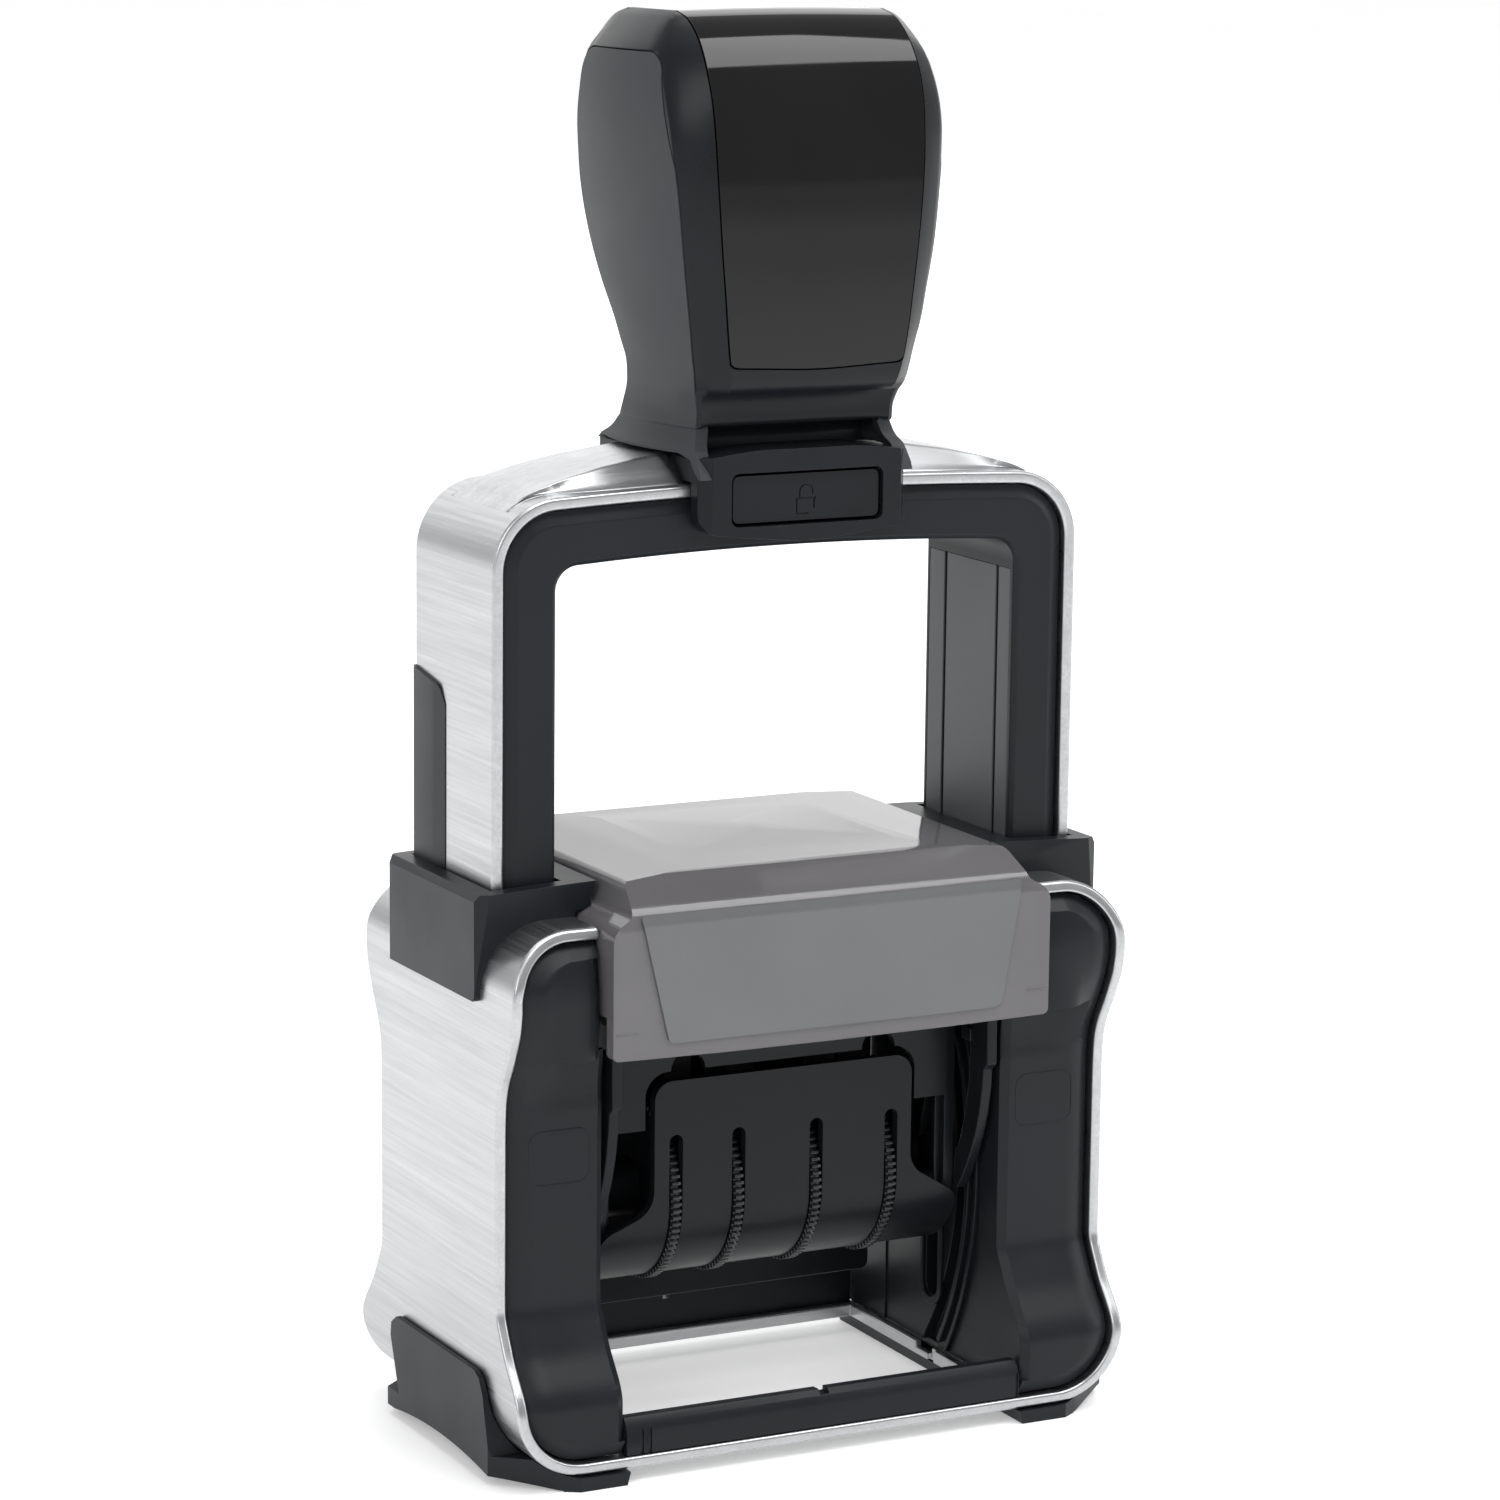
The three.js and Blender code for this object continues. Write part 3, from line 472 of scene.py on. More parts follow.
def finished(part, width, seg, angle):
    """A part with its edges rounded, as verts (millimetres) and faces."""
    o = new_object("part", *part)
    round_edges(o, width, seg, angle)
    out = [tuple(v.co / MM) for v in o.data.vertices], [list(p.vertices) for p in o.data.polygons]
    bpy.data.objects.remove(o)
    return out


def line_ring(corners, width, y0, y1):
    """A closed fine line that follows a rounded outline on a front face."""
    u0, v0, u1, v1, r = corners
    a = rounded([(u0, v0, r), (u1, v0, r), (u1, v1, r), (u0, v1, r)])
    b = rounded([(u0 + width, v0 + width, r - width), (u1 - width, v0 + width, r - width),
                 (u1 - width, v1 - width, r - width), (u0 + width, v1 - width, r - width)])
    stations = [[(xa, y0, za), (xa, y1, za), (xb, y1, zb), (xb, y0, zb)]
                for (xa, za), (xb, zb) in zip(a, b)]
    return loft(stations + stations[:1], caps=False)


waist_line = line_ring((27.0, 33.4, 34.5, 39.6, 1.5), 0.13, -15.79, -15.6)
lower = finished(flange(3.3, 48.25, 25.3, lower_face, -11), 0.3, 3, 38)
upper = finished(flange(48.0, 61, 27.6, upper_face, -11), 0.3, 3, 38)
rear_lower, rear_upper = mirror_y(lower), mirror_y(upper)
# the axle's height at rest and at the bottom of the stroke, and the cam pin's distance from it
AXLE_Z, AXLE_LOW, STROKE, PIN_ARM = 41.8, 10.8, 31, 7
CAM = [(-PIN_ARM * math.sin(math.pi * i / 40),
        AXLE_Z - STROKE * i / 40 + PIN_ARM * math.cos(math.pi * i / 40))
       for i in range(41)]


def along(path, off0, off1):
    """Outline between two offsets of a path."""
    pts0, pts1 = [], []
    for i, (y, z) in enumerate(path):
        a, b = path[max(0, i - 1)], path[min(len(path) - 1, i + 1)]
        length = math.hypot(b[0] - a[0], b[1] - a[1])
        n = ((b[1] - a[1]) / length, -(b[0] - a[0]) / length)
        pts0.append((y + n[0] * off0, z + n[1] * off0))
        pts1.append((y + n[0] * off1, z + n[1] * off1))
    return pts0 + pts1[::-1]


wall = prism("X", [(-15.2, 3.3), (15.2, 3.3), (15.2, 51.2), (-15.2, 51.2)], 25.5, 28.3)
axle_slot = prism("X", arc(0, AXLE_LOW, 1.5, 180, 360, 10) + [(1.5, 55), (-1.5, 55)], 24, 30)
groove = prism("X", along(CAM[1:] + [(0.6, 2.5)], -1.5, 1.5), 24, 26.9)
RAILS = [prism("X", along(CAM[4:39], 1.5, 2.2), 24.75, 25.6),
         prism("X", along(CAM[6:39], 3.1, 3.7), 24.95, 25.6)]
slot_lip = prism("X", arc(0, AXLE_LOW, 2.6, 180, 360, 14) + [(2.6, 40), (1.75, 40)]
                 + [(1.75, AXLE_LOW)] + arc(0, AXLE_LOW, 1.75, 360, 180, 14)[1:]
                 + [(-1.75, 30), (-2.6, 30)], 25.1, 25.6)
for side, turn in (("right", lambda p: p), ("left", mirror_x)):
    shell = new_object(f"housing_{side}", *turn(merge(lower, upper, rear_lower, rear_upper)))
    piece(shell, "base", BLACK, "black_plastic", [f"side_housing_{side}"], bevel=0, keep_sharp=True)
    w = new_object(f"cam_wall_{side}", *turn(wall))
    boolean(w, turn(axle_slot))
    boolean(w, turn(groove))
    piece(w, "base", MECH, "black_plastic", bevel=0.15, seg=2)
    r = new_object(f"cam_rails_{side}", *turn(merge(*RAILS)))
    piece(r, "base", MECH, "black_plastic", bevel=0.12, seg=2)
    r = new_object(f"slot_lip_{side}", *turn(slot_lip))
    piece(r, "base", MECH, "black_plastic", bevel=0.12, seg=2)

# fine outline on each waist
pair("waist_line", merge(waist_line, mirror_y(waist_line)), "base", BLACK, "black_plastic", [], bevel=0)

# sills with their small fitting notches
sill_outline = [(-21.35, 3.1), (-19.1, 3.1), (-19.1, 7.2), (-20.3, 7.25), (-20.9, 6.6), (-21.35, 5.6)]
for name, turn in (("front_sill", lambda p: p), ("rear_sill", mirror_y)):
    o = new_object(name + "_bar", *turn(prism("X", sill_outline, -25, 25)))
    for x, w, zt in ((-23.1, 0.35, 9), (-22.1, 0.35, 9), (24.7, 0.3, 9), (0, 1.1, 9)):
        low = 3.0 if w < 1 else 6.7
        boolean(o, turn(box(x - w / 2, x + w / 2, -22, -21.1 if w < 1 else -19, low, zt)))
    piece(o, "base", BLACK, "black_plastic", [name], bevel=0.2)

# caps on the shoulders
cap_face = ([(37.0, 53.8), (39.2, 53.8), (39.25, 65.0), (38.7, 65.8), (27.2, 66.35), (25.0, 66.4),
             (25.7, 64.4),
             (25.5, 63.6), (27.35, 63.1), (27.4, 62.9)]
            + [(27.4, 60.2)] + list(reversed(arc(31, 55, 6.2, 0, 90, 14))))
cap_plan = [(20, -12.8), (37.75, -12.8), (39.25, -11.7), (39.4, -11.4), (39.4, 11.4), (37.75, 12.8),
            (20, 12.8)]
cap_side = rounded([(-11.6, 53.7, 1.0), (12.0, 53.7, 0.8), (13.2, 63.4, 0.5), (11.9, 67, 0),
                    (-12.9, 67, 0)])
for side, turn in (("right", lambda p: p), ("left", mirror_x)):
    o = new_object(f"cap_cover_{side}", *turn(prism("Y", cap_face, -12.8, 12.8)))
    boolean(o, turn(prism("Z", cap_plan, 50, 70)), "INTERSECT")
    boolean(o, turn(prism("X", cap_side, 20, 42)), "INTERSECT")
    boolean(o, turn(box(28.35, 36.85, -10.8, 10.8, 40, 80)))
    piece(o, "base", BLACK, "black_plastic", [f"cap_{side}"], bevel=0.35)

# feet
foot_face = ([(25.2, 0), (36.4, 0), (39.3, 1.1), (39.3, 12.2), (38.65, 12.2)]
             + list(reversed(arc(30, 10.2, 8.65, -90, 0, 16))) + [(24.8, 1.5)])
foot_plan = [(24, -22), (30.9, -22), (33.2, -20.6), (39.6, -15.4), (39.6, 12), (33.5, 17), (31, 22),
             (24, 22)]
foot_side = ([(-22, 0), (22, 0), (22, 3.2), (9.0, 3.2)] + [(11.4, 9.6), (11.2, 11.2), (9.8, 12.2)]
             + [(-12.0, 12.2), (-13.2, 11.6), (-14.2, 10.0)] + [(-15.9, 3.4), (-22, 3.4)])
for side, turn in (("right", lambda p: p), ("left", mirror_x)):
    o = new_object(f"foot_pad_{side}", *turn(prism("Y", foot_face, -22, 22)))
    boolean(o, turn(prism("Z", foot_plan, -1, 14)), "INTERSECT")
    boolean(o, turn(prism("X", foot_side, 20, 42)), "INTERSECT")
    boolean(o, turn(prism("X", arc(-2.7, -82.9, 85, 76, 104, 30), 32.5, 42)))
    piece(o, "base", BLACK, "black_plastic", [f"foot_{side}"], bevel=0.3)

# steel edge round the printing window, relieved where the cam pins come down
o = new_object("window_edge", *box(-25.15, 25.15, -19.05, 19.05, 1.75, 3.2))
boolean(o, box(-24.3, 24.3, -17.7, 17.7, 0, 5))
for s in (-1, 1):
    x0, x1 = sorted((s * 24.0, s * 24.7))
    boolean(o, box(x0, x1, -2.6, -1.2, 0, 5))
    x0, x1 = sorted((s * 24.0, s * 25.6))
    boolean(o, box(x0, x1, -1.6, 1.6, 2.5, 5))
piece(o, "base", STEEL_TOP, "steel", bevel=0.15, angle=40)

# ------------------------------------------------------------------ sliding frame
FRAME_HALF, CORNER_X, CORNER_Z, CORNER_R = 36.5, 28.5, 100.5, 8
CROWN_TOP, CROWN_DROP, CROWN_RUN = 109.2, 0.7, 812


def frame_path(t, low):
    """Right half of the sliding frame's outline at depth t, from the foot of the leg to the crown."""
    side = np.linspace(low, CORNER_Z, 30)[:-1]
    crown = [(x, CROWN_TOP - t - CROWN_DROP * x * x / CROWN_RUN) for x in np.linspace(27, 0, 12)]
    corner = arc(CORNER_X, CORNER_Z, CORNER_R - t, 0, 90, 16)[:-1]
    return [(FRAME_HALF - t, float(z)) for z in side] + corner + crown


def full(path):
    return path + [(-x, z) for x, z in reversed(path[:-1])]


def swept(sections):
    """A closed bar whose cross-section corners follow the given paths: [(path, y), ...]."""
    return loft([[(x, y, z) for (x, z), y in zip(station, [s[1] for s in sections])]
                 for station in zip(*[full(s[0]) for s in sections])])


STEEL_LOW, LEG_LOW = 42, 38
out, inn = frame_path(0, STEEL_LOW), frame_path(1.4, STEEL_LOW)
o = new_object("frame_band", *swept([(out, -10.5), (out, 10.5), (inn, 10.5), (inn, -10.5)]))
piece(o, "handle", STEEL_SIDE, "steel", ["frame_steel_band"], bevel=0.42, seg=4, angle=40)


BOW_HALF, BOW_X, BOW_Z, BOW_R, BOW_TOP = 28.7, 25.9, 98.1, 2.8, 101.7
RAIL_BACK, RAIL_TOP = 28.95, 97.2
SPRING_X, SPRING_Y, SPRING_BORE = 31.8, 6, 2.7


def bow_path(t, low):
    """Right half of the hand window's outline, grown by t."""
    side = np.linspace(low, BOW_Z, 30)[:-1]
    crown = [(x, BOW_TOP - 0.8 * (x / BOW_X) ** 2 + t) for x in np.linspace(25.6, 0, 12)]
    return [(BOW_HALF + t, float(z)) for z in side] + arc(BOW_X, BOW_Z, BOW_R + t, 0, 90, 16)[:-1] + crown


edge, face = frame_path(1.52, LEG_LOW), frame_path(3.1, LEG_LOW)
lip, bore = bow_path(0.5, LEG_LOW), bow_path(0, LEG_LOW)
o = new_object("bow", *swept([
    (edge, -9.5), (face, -10.25), (lip, -10.25), (bore, -9.8), (bore, 9.8), (lip, 10.25), (face, 10.25),
    (edge, 9.5)]))
for s in (-1, 1):
    x0, x1 = sorted((s * 28.6, s * RAIL_BACK))
    boolean(o, box(x0, x1, -9.2, 9.2, LEG_LOW - 1, RAIL_TOP))
    boolean(o, prism("Y", [(s * 32.2, LEG_LOW - 1), (s * 40, LEG_LOW - 1), (s * 40, 46), (s * 35.4, 41.4)],
                     -12, 12))
    # the poses keep the return spring at rest length:
    # the bore has room for it at the bottom of the stroke
    boolean(o, prism("Z", arc(s * SPRING_X, SPRING_Y, SPRING_BORE, 0, 345, 23), 30, 92))
piece(o, "handle", BLACK, "black_plastic", ["frame_bow"], bevel=0.2, angle=18)

# ribs on the inner face of each leg, in the lighter grey copy of the black plastic: painted light on that
# face
leg_rail = merge(*[box(BOW_HALF, RAIL_BACK, y0, y1, LEG_LOW, RAIL_TOP)
                   for y0, y1 in ((-9.2, -6.6), (-6.0, 5.2), (5.8, 9.2))])
pair("leg_rail", leg_rail, "handle", RAIL_PAINTED_LIGHT, "black_plastic", [], bevel=0.08, seg=2)

strip_plan = [(36.35, 2.0), (36.6, 2.0), (36.95, 5.0), (36.95, 9.9), (36.7, 10.45), (36.35, 10.45)]
strip_side = rounded([(1.5, 40, 0), (11, 40, 0), (11, 87.7, 0), (3.4, 86.4, 1.5), (2.0, 84.4, 1.0),
                      (1.5, 84, 0)])
for side, turn in (("right", lambda p: p), ("left", mirror_x)):
    o = new_object(f"strip_{side}", *turn(prism("Z", strip_plan, STEEL_LOW, 88)))
    boolean(o, turn(prism("X", strip_side, 36, 38)), "INTERSECT")
    piece(o, "handle", BLACK, "black_plastic", [f"leg_strip_{side}"], bevel=0.08, seg=2)

# steel ridge that climbs the crown to the collar
RIDGE = [(12.9, 112.2), (16.7, 111.75), (21.6, 111.0), (26.4, 109.95), (29.5, 109.05), (31.2, 108.4),
         (33.4, 106.6)]
ridge = []
for x in np.linspace(12.9, 33.4, 32):
    base = CROWN_TOP - CROWN_DROP * x * x / CROWN_RUN
    if x >= CORNER_X:
        base = CORNER_Z + math.sqrt(CORNER_R ** 2 - (x - CORNER_X) ** 2)
    top = max(base + 0.02, float(np.interp(x, *zip(*RIDGE))))
    rise, flat, low = top - base, 5.6 + 1.3 * fade(x, 15, 31), 8.6 - 1.3 * fade(x, 19, 31)
    half = [(flat, top), (flat + 0.3, top - 0.08 * rise), (low - 0.7, base + 0.28 * rise),
            (low, base + 0.05 * rise),
            (low + 0.3, base + 0.01), (low + 0.32, base - 0.1)]
    ridge.append([(x, -y, z) for y, z in half[::-1]] + [(x, y, z) for y, z in half])
pair("ridge", loft(ridge), "handle", STEEL_TOP, "steel", ["crown_ridge"], bevel=0, sharp=22)

# ------------------------------------------------------------------ grip collar, neck and lock button
collar_face = rounded([(-12.8, 103.9, 2.2), (0, 102.6, 30), (12.8, 103.9, 2.2), (12.9, 112.2, 0.5),
                       (6.5, 113.0, 30),
                       (-6.5, 113.0, 30), (-12.9, 112.2, 0.5)], 8)
collar_plan = ([(-13, -10), (-12.9, -12.2), (-11.7, -13.8)]
               + [(x, -14.15 + 0.0022 * x * x) for x in (-6, 0, 6)]
               + [(11.7, -13.8), (12.9, -12.2), (13, -10), (13, 10), (12.9, 12.2), (11.7, 13.8),
                  (-11.7, 13.8),
                  (-12.9, 12.2), (-13, 10)])
o = new_object("collar", *prism("Y", collar_face, -15, 15))
boolean(o, prism("Z", collar_plan, 100, 115), "INTERSECT")
boolean(o, box(-20, 20, -10.75, 10.75, 95, 109.4))
recess = rounded([(-9.4, 104.6, 0.9), (9.4, 104.6, 0.9), (9.4, 110.5, 0.9), (-9.4, 110.5, 0.9)])
boolean(o, prism("Y", recess, -15, -10.6))
piece(o, "handle", SATIN, "satin_black", ["grip_collar"], bevel=0.4, angle=35)
button_face = rounded([(-9.05, 104.95, 0.7), (9.05, 104.95, 0.7), (9.05, 110.15, 0.7),
                       (-9.05, 110.15, 0.7)])
o = new_object("button", *prism("Y", button_face, -13.45, -12.0))
shackle = along([(y, z) for y, z in arc(0, 108.1, 0.8, 0, 180, 12)], -0.09, 0.09)
legs = [box(-0.89, -0.71, -14, -13.3, 107.5, 108.1), box(0.71, 0.89, -14, -13.3, 107.8, 108.1)]
lock_body = [box(-1.25, 1.25, -14, -13.3, 107.3, 107.48), box(-1.25, -1.07, -14, -13.3, 105.7, 107.4),
             box(-1.25, 0.3, -14, -13.3, 105.6, 105.78), box(0.9, 1.08, -14, -13.3, 106.2, 107.4)]
for tool in [prism("Y", shackle, -14, -13.3)] + legs + lock_body:
    boolean(o, tool)
piece(o, "lock_button", SATIN, "black_plastic", ["lock_button"], bevel=0.12, angle=40)


def spline_rows(rows, count):
    """Rows of numbers resampled smoothly on their first column."""
    data = np.array(rows, float)
    t = np.concatenate([[0], np.cumsum(np.linalg.norm(np.diff(data[:, [0, 2]], axis=0), axis=1))])
    at = np.linspace(0, t[-1], count)
    cols = []
    for c in range(data.shape[1]):
        y = data[:, c]
        m = np.gradient(y, t)
        k = np.clip(np.searchsorted(t, at, side="right") - 1, 0, len(t) - 2)
        h = t[k + 1] - t[k]
        s = (at - t[k]) / h
        cols.append((2 * s**3 - 3 * s**2 + 1) * y[k] + (s**3 - 2 * s**2 + s) * h * m[k]
                    + (-2 * s**3 + 3 * s**2) * y[k + 1] + (s**3 - s**2) * h * m[k + 1])
    return np.array(cols).T


# z, panel edge x y, seam x y, side x, rear seam x y, rear panel edge x y
HEAD = [
    (119.0, 10.1, 13.6, 12.8, 11.4, 13.4, 12.6, 5.8, 9.5, 8.0),
    (119.6, 10.2, 14.6, 13.0, 11.7, 13.5, 12.6, 5.8, 9.5, 8.0),
    (121.9, 10.5, 15.7, 13.4, 12.2, 13.8, 12.7, 6.1, 9.5, 8.4),
    (123, 10.7, 15.8, 13.6, 12.3, 14.1, 12.9, 6.5, 9.7, 8.9),
    (126, 11.1, 16.0, 14.2, 12.9, 14.8, 13.5, 7.3, 10.2, 9.8),
    (130, 11.5, 16.15, 14.8, 13.2, 15.5, 14.3, 8.9, 10.9, 11.5),
    (135, 12.0, 16.25, 15.5, 13.5, 16.4, 15.1, 10.5, 11.6, 13.2),
    (140, 12.4, 16.3, 16.0, 13.5, 17.1, 15.8, 11.2, 12.2, 14.1),
    (145, 12.7, 16.1, 16.5, 13.1, 17.5, 16.2, 11.3, 12.6, 14.4),
    (148, 12.8, 15.8, 16.7, 12.7, 17.6, 16.4, 11.1, 12.8, 14.2),
    (151, 12.9, 15.25, 16.75, 11.8, 17.5, 16.4, 10.7, 12.9, 13.8),
    (154, 12.95, 14.1, 16.6, 10.3, 17.2, 16.3, 9.9, 12.9, 12.9),
    (156, 12.9, 12.9, 16.3, 8.9, 16.8, 16.0, 8.9, 12.9, 11.9),
    (158, 12.8, 11.1, 15.2, 7.4, 15.5, 15.0, 7.4, 12.8, 10.3),
    (159.5, 12.75, 8.9, 14.0, 6.3, 14.2, 13.9, 6.3, 12.7, 8.3),
    (160.3, 12.6, 5.8, 13.1, 4.6, 13.2, 13.0, 4.6, 12.5, 5.4),
]
NECK = [
    (112.7, 10.2, 8.0, 12.9, 12.0, 14.9, 13.4, 10.6, 10.5, 12.6),
    (113.5, 10.0, 7.6, 12.5, 11.0, 14.2, 13.2, 8.8, 10.2, 10.8),
    (114.8, 10.0, 7.9, 12.1, 10.4, 13.5, 12.9, 7.4, 9.9, 9.4),
    (115.5, 10.2, 10.3, 12.2, 10.5, 13.4, 12.8, 7.0, 9.8, 9.0),
    (117, 10.2, 10.5, 12.2, 10.7, 13.2, 12.7, 6.4, 9.6, 8.5),
    (118.2, 10.2, 10.9, 12.5, 11.0, 13.3, 12.6, 6.0, 9.5, 8.1),
    (119.2, 10.2, 11.6, 12.8, 11.4, 13.4, 12.6, 5.8, 9.5, 8.0),
]


def grip_ring(row):
    z, ex, ey, sx, sy, bx, rx, ry, qx, qy = row
    mx, my = ex + 0.62 * (sx - ex) + 0.25, ey + 0.62 * (sy - ey) + 0.35
    tx, ty = qx + 0.55 * (rx - qx) + 0.3, qy + 0.55 * (ry - qy) + 0.35
    half = [(0, -ey - 0.22), (ex * 0.35, -ey - 0.2), (ex * 0.7, -ey - 0.1), (ex, -ey), (mx, -my), (sx, -sy)]
    for t in np.linspace(0.12, 0.88, 7):
        x = sx + (rx - sx) * t + (bx - (sx + rx) / 2) * (1 - (2 * t - 1) ** 2)
        half.append((x, -sy + (ry + sy) * t))
    half += [(rx, ry), (tx, ty), (qx, qy), (qx * 0.7, qy + 0.1), (qx * 0.35, qy + 0.2), (0, qy + 0.22)]
    return [(x, y, z) for x, y in half] + [(-x, y, z) for x, y in half[-2:0:-1]]


HEAD_ROWS, NECK_ROWS = spline_rows(HEAD, 64), spline_rows(NECK, 26)
head = loft([grip_ring(r) for r in HEAD_ROWS])
neck = loft([grip_ring(r) for r in NECK_ROWS])


def side_zone(gap, sign):
    """The space of one soft-touch side panel, grown or shrunk by a gap."""
    parts = []
    for rows in (NECK_ROWS, HEAD_ROWS):
        rings = []
        for r in rows:
            z = r[0]
            f, b = r[3] - gap, r[6] - gap
            rings.append([(sign * f, -r[4] - 6, z), (sign * f, -r[4], z), (sign * b, r[7], z),
                          (sign * b, r[7] + 6, z),
                          (sign * 30, r[7] + 6, z), (sign * 30, -r[4] - 6, z)])
        parts.append(rings)
    return parts


def side_outline(grow):
    return rounded([(-20, 105, 0), (18, 105, 0), (13.0 + grow, 140, 0), (9.6 + grow, 156.0 + grow, 3.2),
                    (-9.7 - grow, 156.0 + grow, 3.2), (-13.8 - grow, 142, 20), (-13.8 - grow, 130, 0)], 8)


core = new_object("grip_core", *head)
for s in (-1, 1):
    zone = new_object("zone", *loft(side_zone(0.1, s)[1]))
    limit = prism("X", side_outline(0.12), min(0, s * 40), max(0, s * 40))
    boolean(zone, limit, "INTERSECT")
    cut_with(core, zone)

PANEL_Z = 122.4


def panel_part(grow, depth_in, low, lift=0.2, crown_add=0.02):
    """The glossy panel: up the front, over the top and down the back."""
    stations = [r for r in HEAD_ROWS if r[0] > low + 0.2]
    first = [np.array([np.interp(low, HEAD_ROWS[:, 0], HEAD_ROWS[:, c]) for c in range(10)])]
    stations = first + stations
    path = [(-r[2], r[0], r[1]) for r in stations] + [(r[9], r[0], r[8]) for r in reversed(stations)]
    rings = []
    for i, (y, z, x) in enumerate(path):
        a, b = path[max(0, i - 1)], path[min(len(path) - 1, i + 1)]
        t = Vector((b[0] - a[0], b[1] - a[1])).normalized()
        n = Vector((t.y, -t.x))
        w = x + grow
        front, rear = [], []
        for c in (-1, -0.8, -0.4, 0, 0.4, 0.8, 1):
            crown = lift * (1 - c * c) + crown_add
            front.append((c * w, y - n.x * crown, z - n.y * crown))
            rear.append((c * w, y + n.x * depth_in, z + n.y * depth_in))
        rings.append(front + rear[::-1])
    return loft(rings)


def panel_outline(grow):
    low = PANEL_Z - 0.1 - grow
    return rounded([(-10.72 - grow, low, 1.4), (0, low - 0.5, 60), (10.72 + grow, low, 1.4),
                    (11.8 + grow, 126.5, 0),
                    (15, 140, 0), (15, 175, 0), (-15, 175, 0), (-15, 140, 0), (-11.8 - grow, 126.5, 0)], 8)


def panel_solid(name, grow, depth_in, crown_add):
    o = new_object(name, *panel_part(grow, depth_in, PANEL_Z - 1.4, crown_add=crown_add))
    return boolean(o, prism("Y", panel_outline(grow), -30, 30), "INTERSECT")


cut_with(core, panel_solid("panel_seat", 0.12, 1.0, 1.2))
piece(core, "handle", SATIN, "satin_black", ["grip_housing"], bevel=0.22, angle=24, sharp=40)
o = panel_solid("front_panel", -0.05, 0.85, 0.02)
piece(o, "handle", GLOSS, "gloss_black", ["grip_panel"], bevel=0.3, angle=40, sharp=30)

o = new_object("neck", *neck)
for s in (-1, 1):
    boolean(o, loft(side_zone(0.1, s)[0]))
piece(o, "handle", SATIN, "satin_black", ["grip_neck"], bevel=0.2, angle=30, sharp=45)
# the soft sides reach down over the collar; their lower edge is cut along this outline
SKIRT_ROWS = [(109.6, 0, 0, 13.1, 13.95, 15.2, 13.9, 12.9), (110.8, 0, 0, 13.1, 13.4, 15.15, 13.8, 12.3),
              (111.8, 0, 0, 13.0, 12.7, 15.0, 13.6, 11.5)]
SKIRT_EDGE = [(-16, 109.9), (-13.4, 109.95), (-12.4, 110.9), (-11.4, 112.0), (-9.4, 112.55), (0, 112.45),
              (9.4, 112.55),
              (11.4, 112.0), (12.4, 110.9), (13.4, 109.95), (16, 109.9), (16, 100), (-16, 100)]
for side, s in (("left", -1), ("right", 1)):
    rows = SKIRT_ROWS + [r for r in NECK_ROWS if r[0] < 118.9] + list(HEAD_ROWS)
    rings = []
    for r in rows:
        z, _, _, sx, sy, bx, rx, ry = r[:8]
        ring = [(s * (sx + 0.05), -sy, z)]
        for t in np.linspace(0.1, 0.9, 9):
            x = sx + (rx - sx) * t + (bx - (sx + rx) / 2) * (1 - (2 * t - 1) ** 2) + 0.05
            ring.append((s * x, -sy + (ry + sy) * t, z))
        ring += [(s * (rx + 0.05), ry, z), (s * (rx - 1.5), ry - 0.1, z), (s * (sx - 1.5), -sy + 0.1, z)]
        rings.append(ring)
    o = new_object(f"soft_side_{side}", *loft(rings))
    boolean(o, prism("X", side_outline(-0.05), min(0, s * 40), max(0, s * 40)), "INTERSECT")
    boolean(o, prism("X", SKIRT_EDGE, min(0, s * 40), max(0, s * 40)))
    piece(o, "handle", SOFT, "soft_touch", [f"grip_side_{side}"], bevel=0.3, angle=35, sharp=50)

# ------------------------------------------------------------------ rotor
WHEEL_X, HUB_SIDE, WHEEL_Z, WHEEL_R = (-13.7, -5.8, 4.1, 13.8), (1, 1, 1, -1), 27.5, 10.8
GUARD_R, GUARD_T = 10.3, 1.2

shell_out = [(-GUARD_R, 43)] + arc(0, WHEEL_Z, GUARD_R, 180, 262, 40)
shell_in = [(-GUARD_R + GUARD_T, 43)] + arc(0, WHEEL_Z, GUARD_R - GUARD_T, 180, 262, 40)
guard_face = rounded([
    (-22.9, 14, 0), (22.9, 14, 0), (22.9, 24.6, 2.6), (16.4, 28.6, 3.2), (16.4, 42, 2.2), (-16.4, 42, 2.2),
    (-16.4, 27.2, 3.4), (-22.9, 24.4, 2.6)], 8)
o = new_object("guard", *prism("X", shell_out + shell_in[::-1], -23, 23))
boolean(o, prism("Y", guard_face, -20, 20), "INTERSECT")
for x in WHEEL_X:
    boolean(o, prism("Y", [(x - 0.85, 10), (x + 0.85, 10)] + arc(x, 34.9, 0.85, 0, 180, 10), -20, 20))
piece(o, "rotor", MECH, "black_plastic", ["wheel_guard"], bevel=0.22, angle=40)

